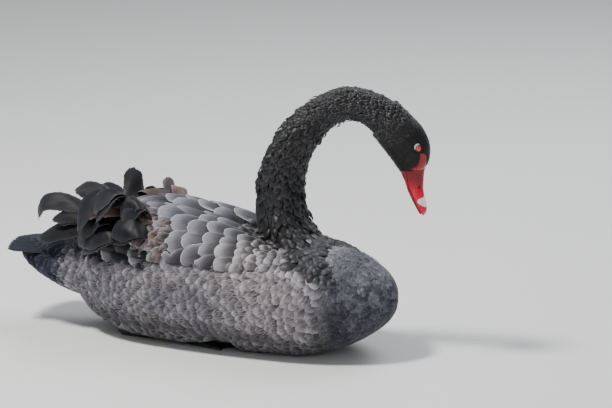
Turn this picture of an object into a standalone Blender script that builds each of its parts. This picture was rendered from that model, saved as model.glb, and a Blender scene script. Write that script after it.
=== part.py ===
"""A black swan as a still, life-size model that rests on its belly with its feet tucked under.

Metres, +Z up, the bill towards +X, the bird's left side towards +Y. The origin is on the
floor, under the middle of the body. The flesh is a hull, a neck in three lengths and a head.
The folded wings and the tail carry their large feathers as overlapping vanes.
"""

import math
import random

import bpy
import numpy as np
from mathutils import Vector

# Touching pieces keep this gap, so that each stays its own solid.
GAP = 0.0004
SEED = 11

# The hull, from the rump to the breast: (distance forward, value) keys of four smooth lines.
RUMP_X = -0.205
BREAST_X = 0.3125
BACK_HEIGHT = (
    (RUMP_X, 0.112), (-0.150, 0.160), (-0.070, 0.184), (0.020, 0.178), (0.100, 0.167),
    (0.185, 0.159), (0.240, 0.148), (0.285, 0.128), (0.305, 0.108), (BREAST_X, 0.088),
)
BELLY_HEIGHT = (
    (RUMP_X, 0.092), (-0.185, 0.052), (-0.140, 0.014), (-0.085, -0.004), (0.050, -0.007),
    (0.170, -0.004), (0.235, 0.010), (0.285, 0.038), (0.305, 0.062), (BREAST_X, 0.082),
)
HALF_WIDTH = (
    (RUMP_X, 0.012), (-0.185, 0.046), (-0.140, 0.078), (-0.060, 0.102), (0.050, 0.108),
    (0.150, 0.104), (0.220, 0.090), (0.270, 0.067), (0.300, 0.036), (BREAST_X, 0.006),
)
WIDEST_HEIGHT = ((RUMP_X, 0.102), (-0.100, 0.094), (0.100, 0.088), (BREAST_X, 0.085))
UPPER_ROUNDNESS = 2.1
LOWER_ROUNDNESS = 2.7
HULL_STATIONS = 26
HULL_SIDES = 24

# The neck's centreline, base to nape: (forward, left, height, half depth, half width).
NECK_LINE = (
    (0.172, 0.000, 0.110, 0.052, 0.070), (0.152, 0.000, 0.142, 0.0430, 0.0510),
    (0.1375, 0.000, 0.172, 0.0380, 0.0415), (0.1305, 0.000, 0.207, 0.0362, 0.0360),
    (0.1305, 0.000, 0.240, 0.0335, 0.0325), (0.142, 0.000, 0.280, 0.0312, 0.0300),
    (0.171, 0.000, 0.3233, 0.0272, 0.0262), (0.2045, 0.0013, 0.351, 0.0242, 0.0232),
    (0.2350, 0.0046, 0.3622, 0.0240, 0.0230), (0.2655, 0.0100, 0.3560, 0.0242, 0.0230),
    (0.2877, 0.0152, 0.3413, 0.0280, 0.0236),
)
NECK_LENGTH = 0.47
NECK_CUTS = (0.0, 0.36, 0.70, 1.0)
NECK_SIDES = 18
NECK_RINGS = (12, 11, 11)

# The head is turned away from the line of the body. Its sections run from the nape to the bill:
# (forward of the nape, height, half depth, half width, tilt of the crown line in degrees).
HEAD_TURN = 18.0
NAPE = (0.2877, 0.0152)
HEAD_SECTIONS = (
    (-0.0030, 0.3438, 0.0278, 0.0235, 56.0), (0.0126, 0.3272, 0.0303, 0.0246, 38.0),
    (0.0214, 0.3172, 0.0318, 0.0250, 31.0), (0.0273, 0.3082, 0.0315, 0.0246, 26.0),
    (0.0320, 0.2995, 0.0303, 0.0233, 22.0), (0.0355, 0.2900, 0.0277, 0.0211, 19.5),
    (0.0377, 0.2805, 0.0243, 0.0185, 18.0), (0.0389, 0.2735, 0.0198, 0.0158, 17.0),
    (0.0396, 0.2690, 0.0124, 0.0110, 17.0),
)
HEAD_SIDES = 24
EYE_PLACE = (0.0464, 0.3054)
EYE_LOOKS = (0.43, 0.90, 0.10)
EYE_SET_OUT = 0.0198
EYE_RADIUS = 0.0064
EYE_BULGE = 0.0016
LID_RADIUS = 0.0056
LID_THICKNESS = 0.0013

# The bill: (height, culmen, mouth line, lower edge, half width), forward of the nape.
BILL_SECTIONS = (
    (0.2830, 0.0530, 0.0285, 0.0180, 0.0140), (0.2720, 0.0545, 0.0290, 0.0192, 0.0136),
    (0.2554, 0.0526, 0.0304, 0.0256, 0.0122), (0.2417, 0.0520, 0.0354, 0.0300, 0.0113),
    (0.2306, 0.0534, 0.0400, 0.0352, 0.0112), (0.2210, 0.0558, 0.0444, 0.0400, 0.0110),
    (0.2130, 0.0572, 0.0482, 0.0442, 0.0092), (0.2080, 0.0562, 0.0502, 0.0470, 0.0066),
    (0.2052, 0.0536, 0.0512, 0.0488, 0.0034),
)
BILL_SLANT = 16.0
BILL_SIDES = 14
BILL_ARCH = 0.9
BILL_BASE_FLATNESS = 0.8
LOWER_BILL_WIDTH = 0.9
MOUTH_GAP = 0.0005
NOSTRIL_PLACE = (0.0470, 0.2490)
NOSTRIL_SIZE = (0.0017, 0.0022, 0.0042)
NOSTRIL_OUT = 0.0082

# A pale band crosses the upper bill behind the nail, and widens towards the ridge:
# (height, slant) of the cuts above and below it, and of the nail's further sections.
BAND_TOP = (0.2290, BILL_SLANT)
BAND_FOOT = (0.2280, -31.0)
NAIL_RINGS = ((0.2200, -8.0), (0.2130, 6.0), (0.2080, 12.0), (0.2052, 14.0))

# The folded wing: a thick shell on the hull's side, whose lower and upper edges are angles
# round the hull, from 0 at the side to 90 on the spine.
WING_FRONT_X = 0.152
WING_REAR_X = -0.172
WING_LOWER_ANGLE = 27.0
WING_UPPER_ANGLE = 88.0
WING_THICKNESS = 0.009
WING_REAR_RISE = 0.016
WING_EDGE = 0.003
WING_LOW_GROWTH = 14.0
WING_HIGH_DROP = 30.0
WING_ENDS = (0.03, 0.97)
WING_EDGES = (0.04, 0.96)
WING_STATIONS = 12
WING_ROWS = 7
WING_SUNK = 0.004

# The rows of feathers over the wing, front to rear: (root, how many, length, width).
# They lie rearwards and a little down, and each upper one overlaps the one below it.
FEATHER_ROWS = (
    (0.150, 4, 0.052, 0.034), (0.112, 4, 0.062, 0.036), (0.070, 4, 0.066, 0.038),
    (0.026, 4, 0.070, 0.038), (-0.018, 4, 0.074, 0.040), (-0.062, 3, 0.076, 0.044),
)
FEATHER_LOW_ANGLE = 32.0
FEATHER_HIGH_ANGLE = 80.0
FEATHER_DROOP = math.radians(-5.0)
FEATHER_SUNK = 0.0012
FEATHER_RISE = 0.0052
FEATHER_SHINGLE = 0.0009
FEATHER_CAMBER = 0.0008
ROW_WANDER = 0.004
TAIL_SHAFT_SHARE = 0.8
VANE_SHAFT = 0.0012
VANE_EDGE = 0.0007
LAID_OUTLINE = ((0.0, 0.60), (0.45, 1.0), (0.82, 0.84), (1.0, 0.36))
CURLED_OUTLINE = (
    (0.0, 0.50), (0.22, 0.84), (0.44, 1.0), (0.64, 1.0), (0.84, 0.97), (1.0, 0.68),
)
CURLED_THINNING = 0.4

# The curled feathers at the rear of each wing: the root on the wing (forward, angle), the rise,
# the crest and the tip (forward, outwards, height), the width, and a roll of the vane.
CURLED = {
    -1: (
        (-0.1, 74, (-0.099, 0.050, 0.228), (-0.142, 0.078, 0.236), (-0.142, 0.100, 0.173), 0.044, 0),
        (-0.092, 66, (-0.081, 0.070, 0.231), (-0.108, 0.085, 0.239), (-0.118, 0.100, 0.190), 0.036, 0),
        (-0.13, 70, (-0.166, 0.040, 0.181), (-0.245, 0.043, 0.210), (-0.237, 0.046, 0.164), 0.03, 48),
        (-0.128, 52, (-0.156, 0.058, 0.161), (-0.203, 0.056, 0.152), (-0.237, 0.050, 0.133), 0.038, 38),
        (-0.128, 62, (-0.153, 0.045, 0.175), (-0.187, 0.047, 0.176), (-0.212, 0.048, 0.160), 0.032, 42),
        (-0.05, 62, (-0.046, 0.080, 0.219), (-0.068, 0.088, 0.220), (-0.079, 0.090, 0.184), 0.028, 30),
        (-0.04, 46, (-0.037, 0.098, 0.185), (-0.065, 0.106, 0.184), (-0.088, 0.104, 0.159), 0.04, 42),
        (-0.088, 42, (-0.086, 0.098, 0.171), (-0.111, 0.104, 0.168), (-0.143, 0.092, 0.137), 0.036, 46),
        (-0.105, 54, (-0.096, 0.086, 0.191), (-0.135, 0.096, 0.193), (-0.145, 0.090, 0.145), 0.036, 26),
    ),
    1: (
        (-0.12, 72, (-0.130, 0.045, 0.185), (-0.136, 0.055, 0.205), (-0.140, 0.060, 0.224), 0.029, 0),
        (-0.13, 68, (-0.179, 0.041, 0.181), (-0.202, 0.045, 0.198), (-0.230, 0.046, 0.183), 0.03, -48),
        (-0.12, 60, (-0.169, 0.058, 0.184), (-0.189, 0.064, 0.196), (-0.200, 0.064, 0.185), 0.028, -36),
        (-0.066, 68, (-0.077, 0.060, 0.187), (-0.082, 0.066, 0.200), (-0.088, 0.070, 0.213), 0.018, 0),
        (-0.128, 52, (-0.172, 0.060, 0.156), (-0.207, 0.059, 0.147), (-0.236, 0.052, 0.131), 0.036, 38),
        (-0.036, 44, (-0.053, 0.101, 0.185), (-0.076, 0.112, 0.179), (-0.104, 0.112, 0.140), 0.038, 34),
        (-0.092, 40, (-0.118, 0.103, 0.157), (-0.142, 0.108, 0.146), (-0.166, 0.090, 0.122), 0.036, 50),
        (-0.1, 66, (-0.104, 0.069, 0.204), (-0.115, 0.090, 0.198), (-0.136, 0.106, 0.150), 0.038, 0),
        (-0.105, 54, (-0.129, 0.090, 0.183), (-0.151, 0.101, 0.171), (-0.174, 0.090, 0.130), 0.036, 30),
    ),
}

# The tail: a wedge of coverts, then the fan of tail feathers.
TAIL_SECTIONS = (
    (-0.150, 0.040, 0.138, 0.060), (-0.190, 0.047, 0.128, 0.062), (-0.220, 0.058, 0.120, 0.056),
    (-0.250, 0.072, 0.115, 0.046), (-0.272, 0.087, 0.113, 0.032), (-0.284, 0.099, 0.112, 0.014),
)
TAIL_SIDES = 16
TAIL_ROOT = (-0.212, 0.1125)
TAIL_FEATHERS = 11
TAIL_SPREAD = 19.0
TAIL_ROOT_SPREAD = 0.026
TAIL_LENGTH = 0.088
TAIL_ROUNDING = 0.09
TAIL_WIDTH = 0.027
TAIL_STEP = 0.0011
TAIL_LIFT = 0.004

# The legs: the shank lies on the floor under the belly, the toes point forward.
HEEL = (-0.102, 0.045)
FOOT_HEAD = (-0.014, 0.045)
SHANK_RADIUS = 0.0078
SHANK_OVERLAP = 0.004
HEEL_RADIUS = 0.0090
HEEL_END_RADIUS = 0.0039
THIGH_RADIUS = 0.013
THIGH_FOOT_LIFT = 0.004
KNEE_TOP = (-0.062, 0.045, 0.056)
TOE_LENGTHS = (0.088, 0.098, 0.084)
TOE_ANGLES = (-19.0, -2.0, 15.0)
TOE_RADIUS = 0.0042
WEB_THICKNESS = 0.0030
WEB_ROOT_HALF_WIDTH = 0.004
HIND_TOE_LENGTH = 0.022
HIND_TOE_RADIUS = 0.0034
HIND_TOE_HEIGHT = 0.006
TOE_TIP_RADIUS = 0.0022
TOE_START = 0.05
TOE_LIFT = 0.0007
WEB_REACH = 0.93
WEB_DIP = 0.88
FLOOR_CUT = 0.006

COLOURS = {
    "breast_grey": (0.045, 0.045, 0.050), "neck_black": (0.010, 0.010, 0.012),
    "wing_grey": (0.085, 0.083, 0.090), "tail_slate": (0.030, 0.033, 0.043),
    "bill_red": (0.42, 0.012, 0.020), "band_white": (0.85, 0.74, 0.72),
    "eye_red": (0.45, 0.035, 0.025), "leg_black": (0.022, 0.021, 0.022),
}
ROUGHNESS = {"bill_red": 0.28, "band_white": 0.25, "eye_red": 0.08, "leg_black": 0.45}


# General tools

def material(name):
    """The named finish, made once."""
    found = bpy.data.materials.get(name)
    if found:
        return found
    made = bpy.data.materials.new(name)
    made.use_nodes = True
    shader = made.node_tree.nodes["Principled BSDF"]
    shader.inputs["Base Color"].default_value = (*COLOURS[name], 1.0)
    shader.inputs["Roughness"].default_value = ROUGHNESS.get(name, 0.7)
    shader.inputs["Metallic"].default_value = 0.0
    made.diffuse_color = (*COLOURS[name], 1.0)
    return made


def mesh_object(name, points, faces, finish):
    """A named object of these points and faces."""
    mesh = bpy.data.meshes.new(name)
    mesh.from_pydata([tuple(p) for p in points], [], faces)
    mesh.validate()
    mesh.update()
    made = bpy.data.objects.new(name, mesh)
    made.data.materials.append(material(finish))
    bpy.context.scene.collection.objects.link(made)
    return made


def smooth_line(keys):
    """A smooth function through (place, value) keys that doesn't swing past them."""
    places, values = np.array(sorted(keys), float).T
    steps = np.diff(places)
    slopes = np.diff(values) / steps
    tangents = np.zeros(len(places))
    tangents[0], tangents[-1] = slopes[0], slopes[-1]
    for i in range(1, len(places) - 1):
        if slopes[i - 1] * slopes[i] > 0:
            tangents[i] = 2 * slopes[i - 1] * slopes[i] / (slopes[i - 1] + slopes[i])

    def value_at(place):
        place = min(max(place, places[0]), places[-1])
        i = int(min(np.searchsorted(places, place, side="right") - 1, len(steps) - 1))
        t = (place - places[i]) / steps[i]
        rest = 1 - t
        return (
            values[i] * (1 + 2 * t) * rest * rest + values[i + 1] * t * t * (3 - 2 * t)
            + steps[i] * t * rest * (tangents[i] * rest - tangents[i + 1] * t)
        )

    return value_at


def loft(name, rings, finish):
    """A closed skin over rings of equal count, each end closed by a fan."""
    count = len(rings[0])
    points = [p for ring in rings for p in ring]
    faces = []
    for i in range(len(rings) - 1):
        for j in range(count):
            a, b = i * count + j, i * count + (j + 1) % count
            faces.append((a, b, b + count))
            faces.append((a, b + count, a + count))
    for ring, turned in ((0, True), (len(rings) - 1, False)):
        centre = len(points)
        points.append(sum((Vector(p) for p in rings[ring]), Vector()) / count)
        for j in range(count):
            a, b = ring * count + j, ring * count + (j + 1) % count
            faces.append((b, a, centre) if turned else (a, b, centre))
    made = mesh_object(name, points, faces, finish)
    face_outwards(made)
    return made


def ellipsoid(name, centre, axes, sizes, finish, rings=7, sides=12):
    """A closed egg shape on three square axes."""
    loops = []
    for i in range(1, rings + 1):
        polar = math.pi * i / (rings + 1)
        loop = []
        for j in range(sides):
            angle = 2 * math.pi * j / sides
            loop.append(
                centre + axes[0] * sizes[0] * math.sin(polar) * math.cos(angle)
                + axes[1] * sizes[1] * math.sin(polar) * math.sin(angle)
                + axes[2] * sizes[2] * math.cos(polar)
            )
        loops.append(loop)
    return loft(name, loops, finish)


def signed_volume(mesh):
    mesh.calc_loop_triangles()
    total = 0.0
    for tri in mesh.loop_triangles:
        a, b, c = (mesh.vertices[i].co for i in tri.vertices)
        total += a.dot(b.cross(c)) / 6
    return total


def face_outwards(obj):
    if signed_volume(obj.data) < 0:
        obj.data.flip_normals()


def swollen(obj, by=GAP):
    """A copy pushed out along its normals, to cut a neighbour clear by a gap."""
    made = obj.copy()
    made.data = obj.data.copy()
    made.name = obj.name + "_swollen"
    bpy.context.scene.collection.objects.link(made)
    for vertex, normal in zip(made.data.vertices, [v.normal.copy() for v in obj.data.vertices]):
        vertex.co += normal * by
    made.hide_render = True
    made.display_type = "WIRE"
    return made


def apply_boolean(obj, others, operation, solver):
    """Joins or cuts with one Boolean on a collection of the others, then removes them."""
    group = bpy.data.collections.new("pieces")
    for other in others:
        group.objects.link(other)
    change = obj.modifiers.new(operation.title(), "BOOLEAN")
    change.operation = operation
    change.operand_type = "COLLECTION"
    change.collection = group
    change.solver = solver
    graph = bpy.context.evaluated_depsgraph_get()
    mesh = bpy.data.meshes.new_from_object(obj.evaluated_get(graph))
    obj.modifiers.clear()
    obj.data = mesh
    for other in others:
        bpy.data.objects.remove(other, do_unlink=True)
    bpy.data.collections.remove(group)


def keep_largest(obj):
    """Leaves only the largest closed surface of the object."""
    mesh = obj.data
    parent = list(range(len(mesh.vertices)))

    def root(i):
        while parent[i] != i:
            parent[i] = parent[parent[i]]
            i = parent[i]
        return i

    for edge in mesh.edges:
        a, b = (root(i) for i in edge.vertices)
        parent[a] = b
    mesh.calc_loop_triangles()
    volumes = {}
    for tri in mesh.loop_triangles:
        a, b, c = (mesh.vertices[i].co for i in tri.vertices)
        key = root(tri.vertices[0])
        volumes[key] = volumes.get(key, 0.0) + a.dot(b.cross(c)) / 6
    best = max(volumes, key=lambda key: volumes[key])
    kept = [v.index for v in mesh.vertices if root(v.index) == best]
    new_index = {old: new for new, old in enumerate(kept)}
    points = [mesh.vertices[i].co.copy() for i in kept]
    faces = [
        tuple(new_index[i] for i in tri.vertices)
        for tri in mesh.loop_triangles if tri.vertices[0] in new_index
    ]
    finish = mesh.materials[0]
    clean = bpy.data.meshes.new(obj.name)
    clean.from_pydata(points, [], faces)
    clean.update()
    clean.materials.append(finish)
    obj.data = clean


def join(obj, others):
    """Fuses closed pieces into the object."""
    apply_boolean(obj, others, "UNION", "MANIFOLD")
    keep_largest(obj)


def cut(obj, neighbours, by=GAP):
    """Cuts the object clear of its neighbours by the gap."""
    apply_boolean(obj, [swollen(n, by) for n in neighbours], "DIFFERENCE", "MANIFOLD")
    keep_largest(obj)


def cut_away(obj, cutters):
    """Cuts the object with the cutters as they are, and removes them."""
    apply_boolean(obj, cutters, "DIFFERENCE", "MANIFOLD")
    keep_largest(obj)


def shade(obj):
    obj.data.shade_smooth()
    obj.data.set_sharp_from_angle(angle=math.radians(40))


# The hull

back_height = smooth_line(BACK_HEIGHT)
belly_height = smooth_line(BELLY_HEIGHT)
half_width = smooth_line(HALF_WIDTH)
widest_height = smooth_line(WIDEST_HEIGHT)


def hull_surface(x, degrees):
    """The hull's point at x, at an angle round it from the left side over the back."""
    angle = math.radians(degrees)
    side, rise = math.cos(angle), math.sin(angle)
    middle = widest_height(x)
    reach = back_height(x) - middle if rise >= 0 else middle - belly_height(x)
    power = 2 / (UPPER_ROUNDNESS if rise >= 0 else LOWER_ROUNDNESS)
    across = half_width(x) * math.copysign(abs(side) ** power, side)
    up = middle + reach * math.copysign(abs(rise) ** power, rise)
    return Vector((x, across, max(up, 0.0)))


def hull_normal(x, degrees):
    """The outward normal there."""
    step_x, step_a = 0.004, 3.0
    along = hull_surface(x + step_x, degrees) - hull_surface(x - step_x, degrees)
    round_it = hull_surface(x, degrees + step_a) - hull_surface(x, degrees - step_a)
    return round_it.cross(along).normalized()


def hull_point(x, degrees, out):
    return hull_surface(x, degrees) + hull_normal(x, degrees) * out


def make_torso():
    rings = []
    for i in range(HULL_STATIONS):
        share = (1 - math.cos(math.pi * i / (HULL_STATIONS - 1))) / 2
        x = RUMP_X + (BREAST_X - RUMP_X) * share
        rings.append([hull_surface(x, 360 * j / HULL_SIDES) for j in range(HULL_SIDES)])
    return loft("torso", rings, "breast_grey")


# The neck and the head

NECK_PLACES = np.linspace(0, 1, len(NECK_LINE))
NECK_CURVES = [smooth_line(list(zip(NECK_PLACES, column))) for column in zip(*NECK_LINE)]


def neck_centre(share):
    """The neck's centreline at a share of the way from base to nape."""
    return Vector([curve(share) for curve in NECK_CURVES[:3]])


def neck_ring(share):
    """A ring round the neck, square to its centreline."""
    step = 0.01
    ahead, behind = min(share + step, 1.0), max(share - step, 0.0)
    along = (neck_centre(ahead) - neck_centre(behind)).normalized()
    across = Vector((0, 1, 0))
    across = (across - along * across.dot(along)).normalized()
    up = across.cross(along)
    depth, width = (curve(share) for curve in NECK_CURVES[3:])
    ring = []
    for j in range(NECK_SIDES):
        angle = 2 * math.pi * j / NECK_SIDES
        offset = across * width * math.cos(angle) + up * depth * math.sin(angle)
        ring.append(neck_centre(share) + offset)
    return ring


def make_neck():
    """Three lengths of neck, face to face across a thin cut."""
    made = []
    trim = 0.5 * GAP / NECK_LENGTH
    for i, name in enumerate(("neck_lower", "neck_middle", "neck_upper")):
        low = NECK_CUTS[i] + (trim if i else 0)
        high = NECK_CUTS[i + 1] - (trim if i < 2 else 0)
        rings = [neck_ring(s) for s in np.linspace(low, high, NECK_RINGS[i])]
        made.append(loft(name, rings, "neck_black"))
    return made


HEAD_AHEAD = Vector((math.cos(math.radians(HEAD_TURN)), math.sin(math.radians(HEAD_TURN)), 0))
HEAD_LEFT = Vector((-HEAD_AHEAD.y, HEAD_AHEAD.x, 0))


def head_place(forward, height, left=0.0):
    """A point in the head's own turned frame."""
    return Vector((NAPE[0], NAPE[1], height)) + HEAD_AHEAD * forward + HEAD_LEFT * left


def make_head_form():
    rings = []
    for forward, height, depth, width, tilt in HEAD_SECTIONS:
        slope = math.radians(tilt)
        crown = HEAD_AHEAD * math.cos(slope) + Vector((0, 0, math.sin(slope)))
        centre = head_place(forward, height)
        ring = []
        for j in range(HEAD_SIDES):
            angle = 2 * math.pi * j / HEAD_SIDES
            ring.append(
                centre + crown * depth * math.sin(angle) + HEAD_LEFT * width * math.cos(angle)
            )
        rings.append(ring)
    return loft("head", rings, "neck_black")


def eye_axes(side):
    """The eye's outlook and two directions square to it. Side is 1 on the left, -1 on the right."""
    ahead, left, up = EYE_LOOKS
    look = (HEAD_AHEAD * ahead + HEAD_LEFT * left * side + Vector((0, 0, up))).normalized()
    level = look.cross(Vector((0, 0, 1))).normalized()
    return level, level.cross(look), look


def make_eye(name, side):
    """An eyeball set in its socket."""
    axes = eye_axes(side)
    surface = head_place(*EYE_PLACE, left=side * EYE_SET_OUT)
    centre = surface - axes[2] * (EYE_RADIUS - EYE_BULGE)
    return ellipsoid(name, centre, axes, (EYE_RADIUS,) * 3, "eye_red", 7, 14)


def make_lids(side):
    """The ring of bare lids round the eye, half sunk in the head."""
    level, rise, look = eye_axes(side)
    centre = head_place(*EYE_PLACE, left=side * EYE_SET_OUT)
    spokes, round_it = 14, 5
    points, faces = [], []
    for i in range(spokes):
        turn = 2 * math.pi * i / spokes
        spoke = level * math.cos(turn) + rise * math.sin(turn)
        for j in range(round_it):
            angle = 2 * math.pi * j / round_it
            points.append(
                centre + spoke * (LID_RADIUS + LID_THICKNESS * math.cos(angle))
                + look * LID_THICKNESS * math.sin(angle)
            )
            a, b = i * round_it + j, i * round_it + (j + 1) % round_it
            c = (i + 1) % spokes * round_it + (j + 1) % round_it
            d = (i + 1) % spokes * round_it + j
            faces += [(a, b, c), (a, c, d)]
    made = mesh_object("lids", points, faces, "neck_black")
    face_outwards(made)
    return made


BILL_CURVES = [
    smooth_line([(section[0], section[k]) for section in BILL_SECTIONS]) for k in range(1, 5)
]


def bill_ring(height, slant, upper):
    """One section of the upper or the lower bill: flat at the mouth line, arched outside."""
    culmen, mouth, lower, width = (curve(height) for curve in BILL_CURVES)
    edge = mouth + MOUTH_GAP / 2 if upper else mouth - MOUTH_GAP / 2
    reach = culmen - edge if upper else lower - edge
    ring = []
    for j in range(BILL_SIDES):
        angle = 2 * math.pi * j / BILL_SIDES
        across, out = math.cos(angle), math.sin(angle)
        if out < 0:
            across = math.copysign(abs(across) ** BILL_BASE_FLATNESS, across)
        forward = edge + reach * max(out, 0.0) ** BILL_ARCH
        rise = math.tan(math.radians(slant)) * (forward - mouth)
        left = width * across * (1 if upper else LOWER_BILL_WIDTH)
        ring.append(head_place(forward, height + rise, left))
    return ring


def make_bill():
    """The upper bill, its pale band and its nail, and the lower bill."""
    heights = [section[0] for section in BILL_SECTIONS]
    upper_cuts = [(z, BILL_SLANT) for z in heights if z > BAND_TOP[0] + GAP] + [BAND_TOP]
    band_top = (BAND_TOP[0] - GAP, BAND_TOP[1])
    nail_top = (BAND_FOOT[0] - GAP, BAND_FOOT[1])
    lower_cuts = [(z, BILL_SLANT) for z in heights[:-1]]
    pieces = (
        ("bill_upper", upper_cuts, True, "bill_red"),
        ("bill_band", (band_top, BAND_FOOT), True, "band_white"),
        ("bill_nail", (nail_top,) + NAIL_RINGS, True, "bill_red"),
        ("bill_lower", lower_cuts, False, "bill_red"),
    )
    return [
        loft(name, [bill_ring(*spot, upper) for spot in cuts], finish)
        for name, cuts, upper, finish in pieces
    ]


def make_nostril(side):
    """The cutter of one nostril, a slot along the bill's side."""
    up = Vector((0, 0, 1))
    centre = head_place(*NOSTRIL_PLACE, left=side * NOSTRIL_OUT)
    made = ellipsoid("nostril", centre, (HEAD_AHEAD, HEAD_LEFT, up), NOSTRIL_SIZE, "bill_red")
    made.hide_render = True
    made.display_type = "WIRE"
    return made


# Feathers

def plate(name, stations, finish):
    """A thin closed vane. Each station holds its upper and its lower three points, left to right.
    Both faces are split into triangles alike."""
    points = [p for station in stations for p in station]
    faces = []
    for i in range(len(stations) - 1):
        a, b = 6 * i, 6 * i + 6
        for j in (0, 1):
            faces += [(a + j, a + j + 1, b + j + 1), (a + j, b + j + 1, b + j)]
            faces += [(a + 3 + j, b + 4 + j, a + 4 + j), (a + 3 + j, b + 3 + j, b + 4 + j)]
        for top, low, turned in ((0, 3, False), (2, 5, True)):
            side = [(a + top, b + top, b + low), (a + top, b + low, a + low)]
            faces += [face[::-1] for face in side] if turned else side
    last = 6 * (len(stations) - 1)
    for j in (0, 1):
        faces += [(j, 3 + j, 4 + j), (j, 4 + j, j + 1)]
        faces += [(last + j, last + 4 + j, last + 3 + j), (last + j, last + j + 1, last + 4 + j)]
    made = mesh_object(name, points, faces, finish)
    face_outwards(made)
    return made


def laid_vane(side, x, degrees, length, width):
    """A feather that lies on the wing, its root sunk in it and its tip lifted."""
    stations = []
    for share, breadth in LAID_OUTLINE:
        at = x - length * share * math.cos(FEATHER_DROOP)
        per_degree = (hull_surface(at, degrees + 2) - hull_surface(at, degrees - 2)).length / 4
        middle = degrees + length * share * math.sin(FEATHER_DROOP) / per_degree
        rise = FEATHER_RISE * share - FEATHER_SUNK
        tops, lows = [], []
        for across in (-1, 0, 1):
            angle = middle + across * breadth * width / 2 / per_degree
            edge = abs(across)
            out = shell_out(at, angle) + rise - across * FEATHER_SHINGLE - edge * FEATHER_CAMBER
            tops.append(wing_place(at, angle, side, out))
            lows.append(wing_place(at, angle, side, out - (VANE_EDGE if edge else VANE_SHAFT)))
        stations.append(tops + lows)
    return plate("feather", stations, "wing_grey")


def curled_vane(side, x, degrees, rise, crest, tip, width, roll):
    """A feather that leaves the wing, rises and curls over its crest to its tip."""
    root = wing_place(x, degrees, side, shell_out(x, degrees) * 0.5)
    rise, crest, tip = (Vector((spot[0], spot[1] * side, spot[2])) for spot in (rise, crest, tip))
    course = tip - root
    course.z = 0
    level = Vector((-course.y, course.x, 0)).normalized()
    stations = []
    for share, breadth in CURLED_OUTLINE:
        rest = 1 - share
        centre = (
            root * rest ** 3 + rise * 3 * share * rest ** 2
            + crest * 3 * share ** 2 * rest + tip * share ** 3
        )
        along = (
            (rise - root) * rest ** 2 + (crest - rise) * 2 * share * rest
            + (tip - crest) * share ** 2
        ).normalized()
        across = (level - along * level.dot(along)).normalized()
        normal = along.cross(across)
        turn = math.radians(roll) * side * min(1.0, 2 * share)
        wide = across * math.cos(turn) + normal * math.sin(turn)
        face = normal * math.cos(turn) - across * math.sin(turn)
        thin = 1 - CURLED_THINNING * share
        tops, lows = [], []
        for column in (-1, 0, 1):
            thick = (VANE_EDGE if column else VANE_SHAFT) * thin
            spot = centre + wide * column * breadth * width / 2 - face * abs(column) * FEATHER_CAMBER
            tops.append(spot + face * thick / 2)
            lows.append(spot - face * thick / 2)
        stations.append(tops + lows)
    return plate("curled_feather", stations, "wing_grey")


def tail_vane(place):
    """One feather of the tail's fan. The middle one lies on top."""
    side = 2 * place / (TAIL_FEATHERS - 1) - 1
    angle = math.radians(TAIL_SPREAD) * side
    level = TAIL_ROOT[1] - abs(place - (TAIL_FEATHERS - 1) / 2) * TAIL_STEP
    root = Vector((TAIL_ROOT[0], TAIL_ROOT_SPREAD * side, level))
    along = Vector((-math.cos(angle), math.sin(angle), 0))
    across = Vector((-along.y, along.x, 0))
    stations = []
    for share, breadth in LAID_OUTLINE:
        centre = root + along * TAIL_LENGTH * (1 - TAIL_ROUNDING * side * side) * share
        centre.z += TAIL_LIFT * share
        tops, lows = [], []
        for column in (-1, 0, 1):
            spot = centre + across * column * breadth * TAIL_WIDTH / 2
            thick = VANE_EDGE if column else VANE_SHAFT * TAIL_SHAFT_SHARE
            tops.append(spot)
            lows.append(spot - Vector((0, 0, thick)))
        stations.append(tops + lows)
    return plate("tail_feather", stations, "tail_slate")


# The tail

def make_tail_form():
    """The wedge of tail coverts."""
    low = smooth_line([(s[0], s[1]) for s in TAIL_SECTIONS])
    high = smooth_line([(s[0], s[2]) for s in TAIL_SECTIONS])
    wide = smooth_line([(s[0], s[3]) for s in TAIL_SECTIONS])
    rings = []
    for x in np.linspace(TAIL_SECTIONS[0][0], TAIL_SECTIONS[-1][0], 10):
        middle = 0.45 * low(x) + 0.55 * high(x)
        ring = []
        for j in range(TAIL_SIDES):
            angle = 2 * math.pi * j / TAIL_SIDES
            rise = math.sin(angle)
            reach = high(x) - middle if rise > 0 else middle - low(x)
            ring.append((x, wide(x) * math.cos(angle), middle + reach * rise))
        rings.append(ring)
    return loft("tail", rings, "tail_slate")


# The wings

def wing_span(x):
    """The lowest and highest angle of the wing at x, and how full it is there."""
    share = (x - WING_REAR_X) / (WING_FRONT_X - WING_REAR_X)
    fullness = math.sin(math.pi * min(max(share, WING_ENDS[0]), WING_ENDS[1])) ** 0.4
    low = WING_LOWER_ANGLE + WING_LOW_GROWTH * (1 - fullness)
    high = WING_UPPER_ANGLE - WING_HIGH_DROP * (1 - fullness)
    return low, high, fullness, min(max(share, 0.0), 1.0)


def shell_out(x, degrees):
    """How far the wing's plain surface stands off the hull."""
    low, high, fullness, share = wing_span(x)
    row = (degrees - low) / (high - low)
    edge = math.sin(math.pi * min(max(row, WING_EDGES[0]), WING_EDGES[1])) ** 0.5
    thickness = WING_THICKNESS + WING_REAR_RISE * (1 - share) * min(max(row, 0.0), 1.0)
    return max(thickness * edge * fullness, WING_EDGE)


def wing_place(x, degrees, side, out):
    """A point over the hull, on the left where side is 1."""
    point = hull_point(x, degrees, out)
    return Vector((point.x, point.y * side, point.z))


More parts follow.
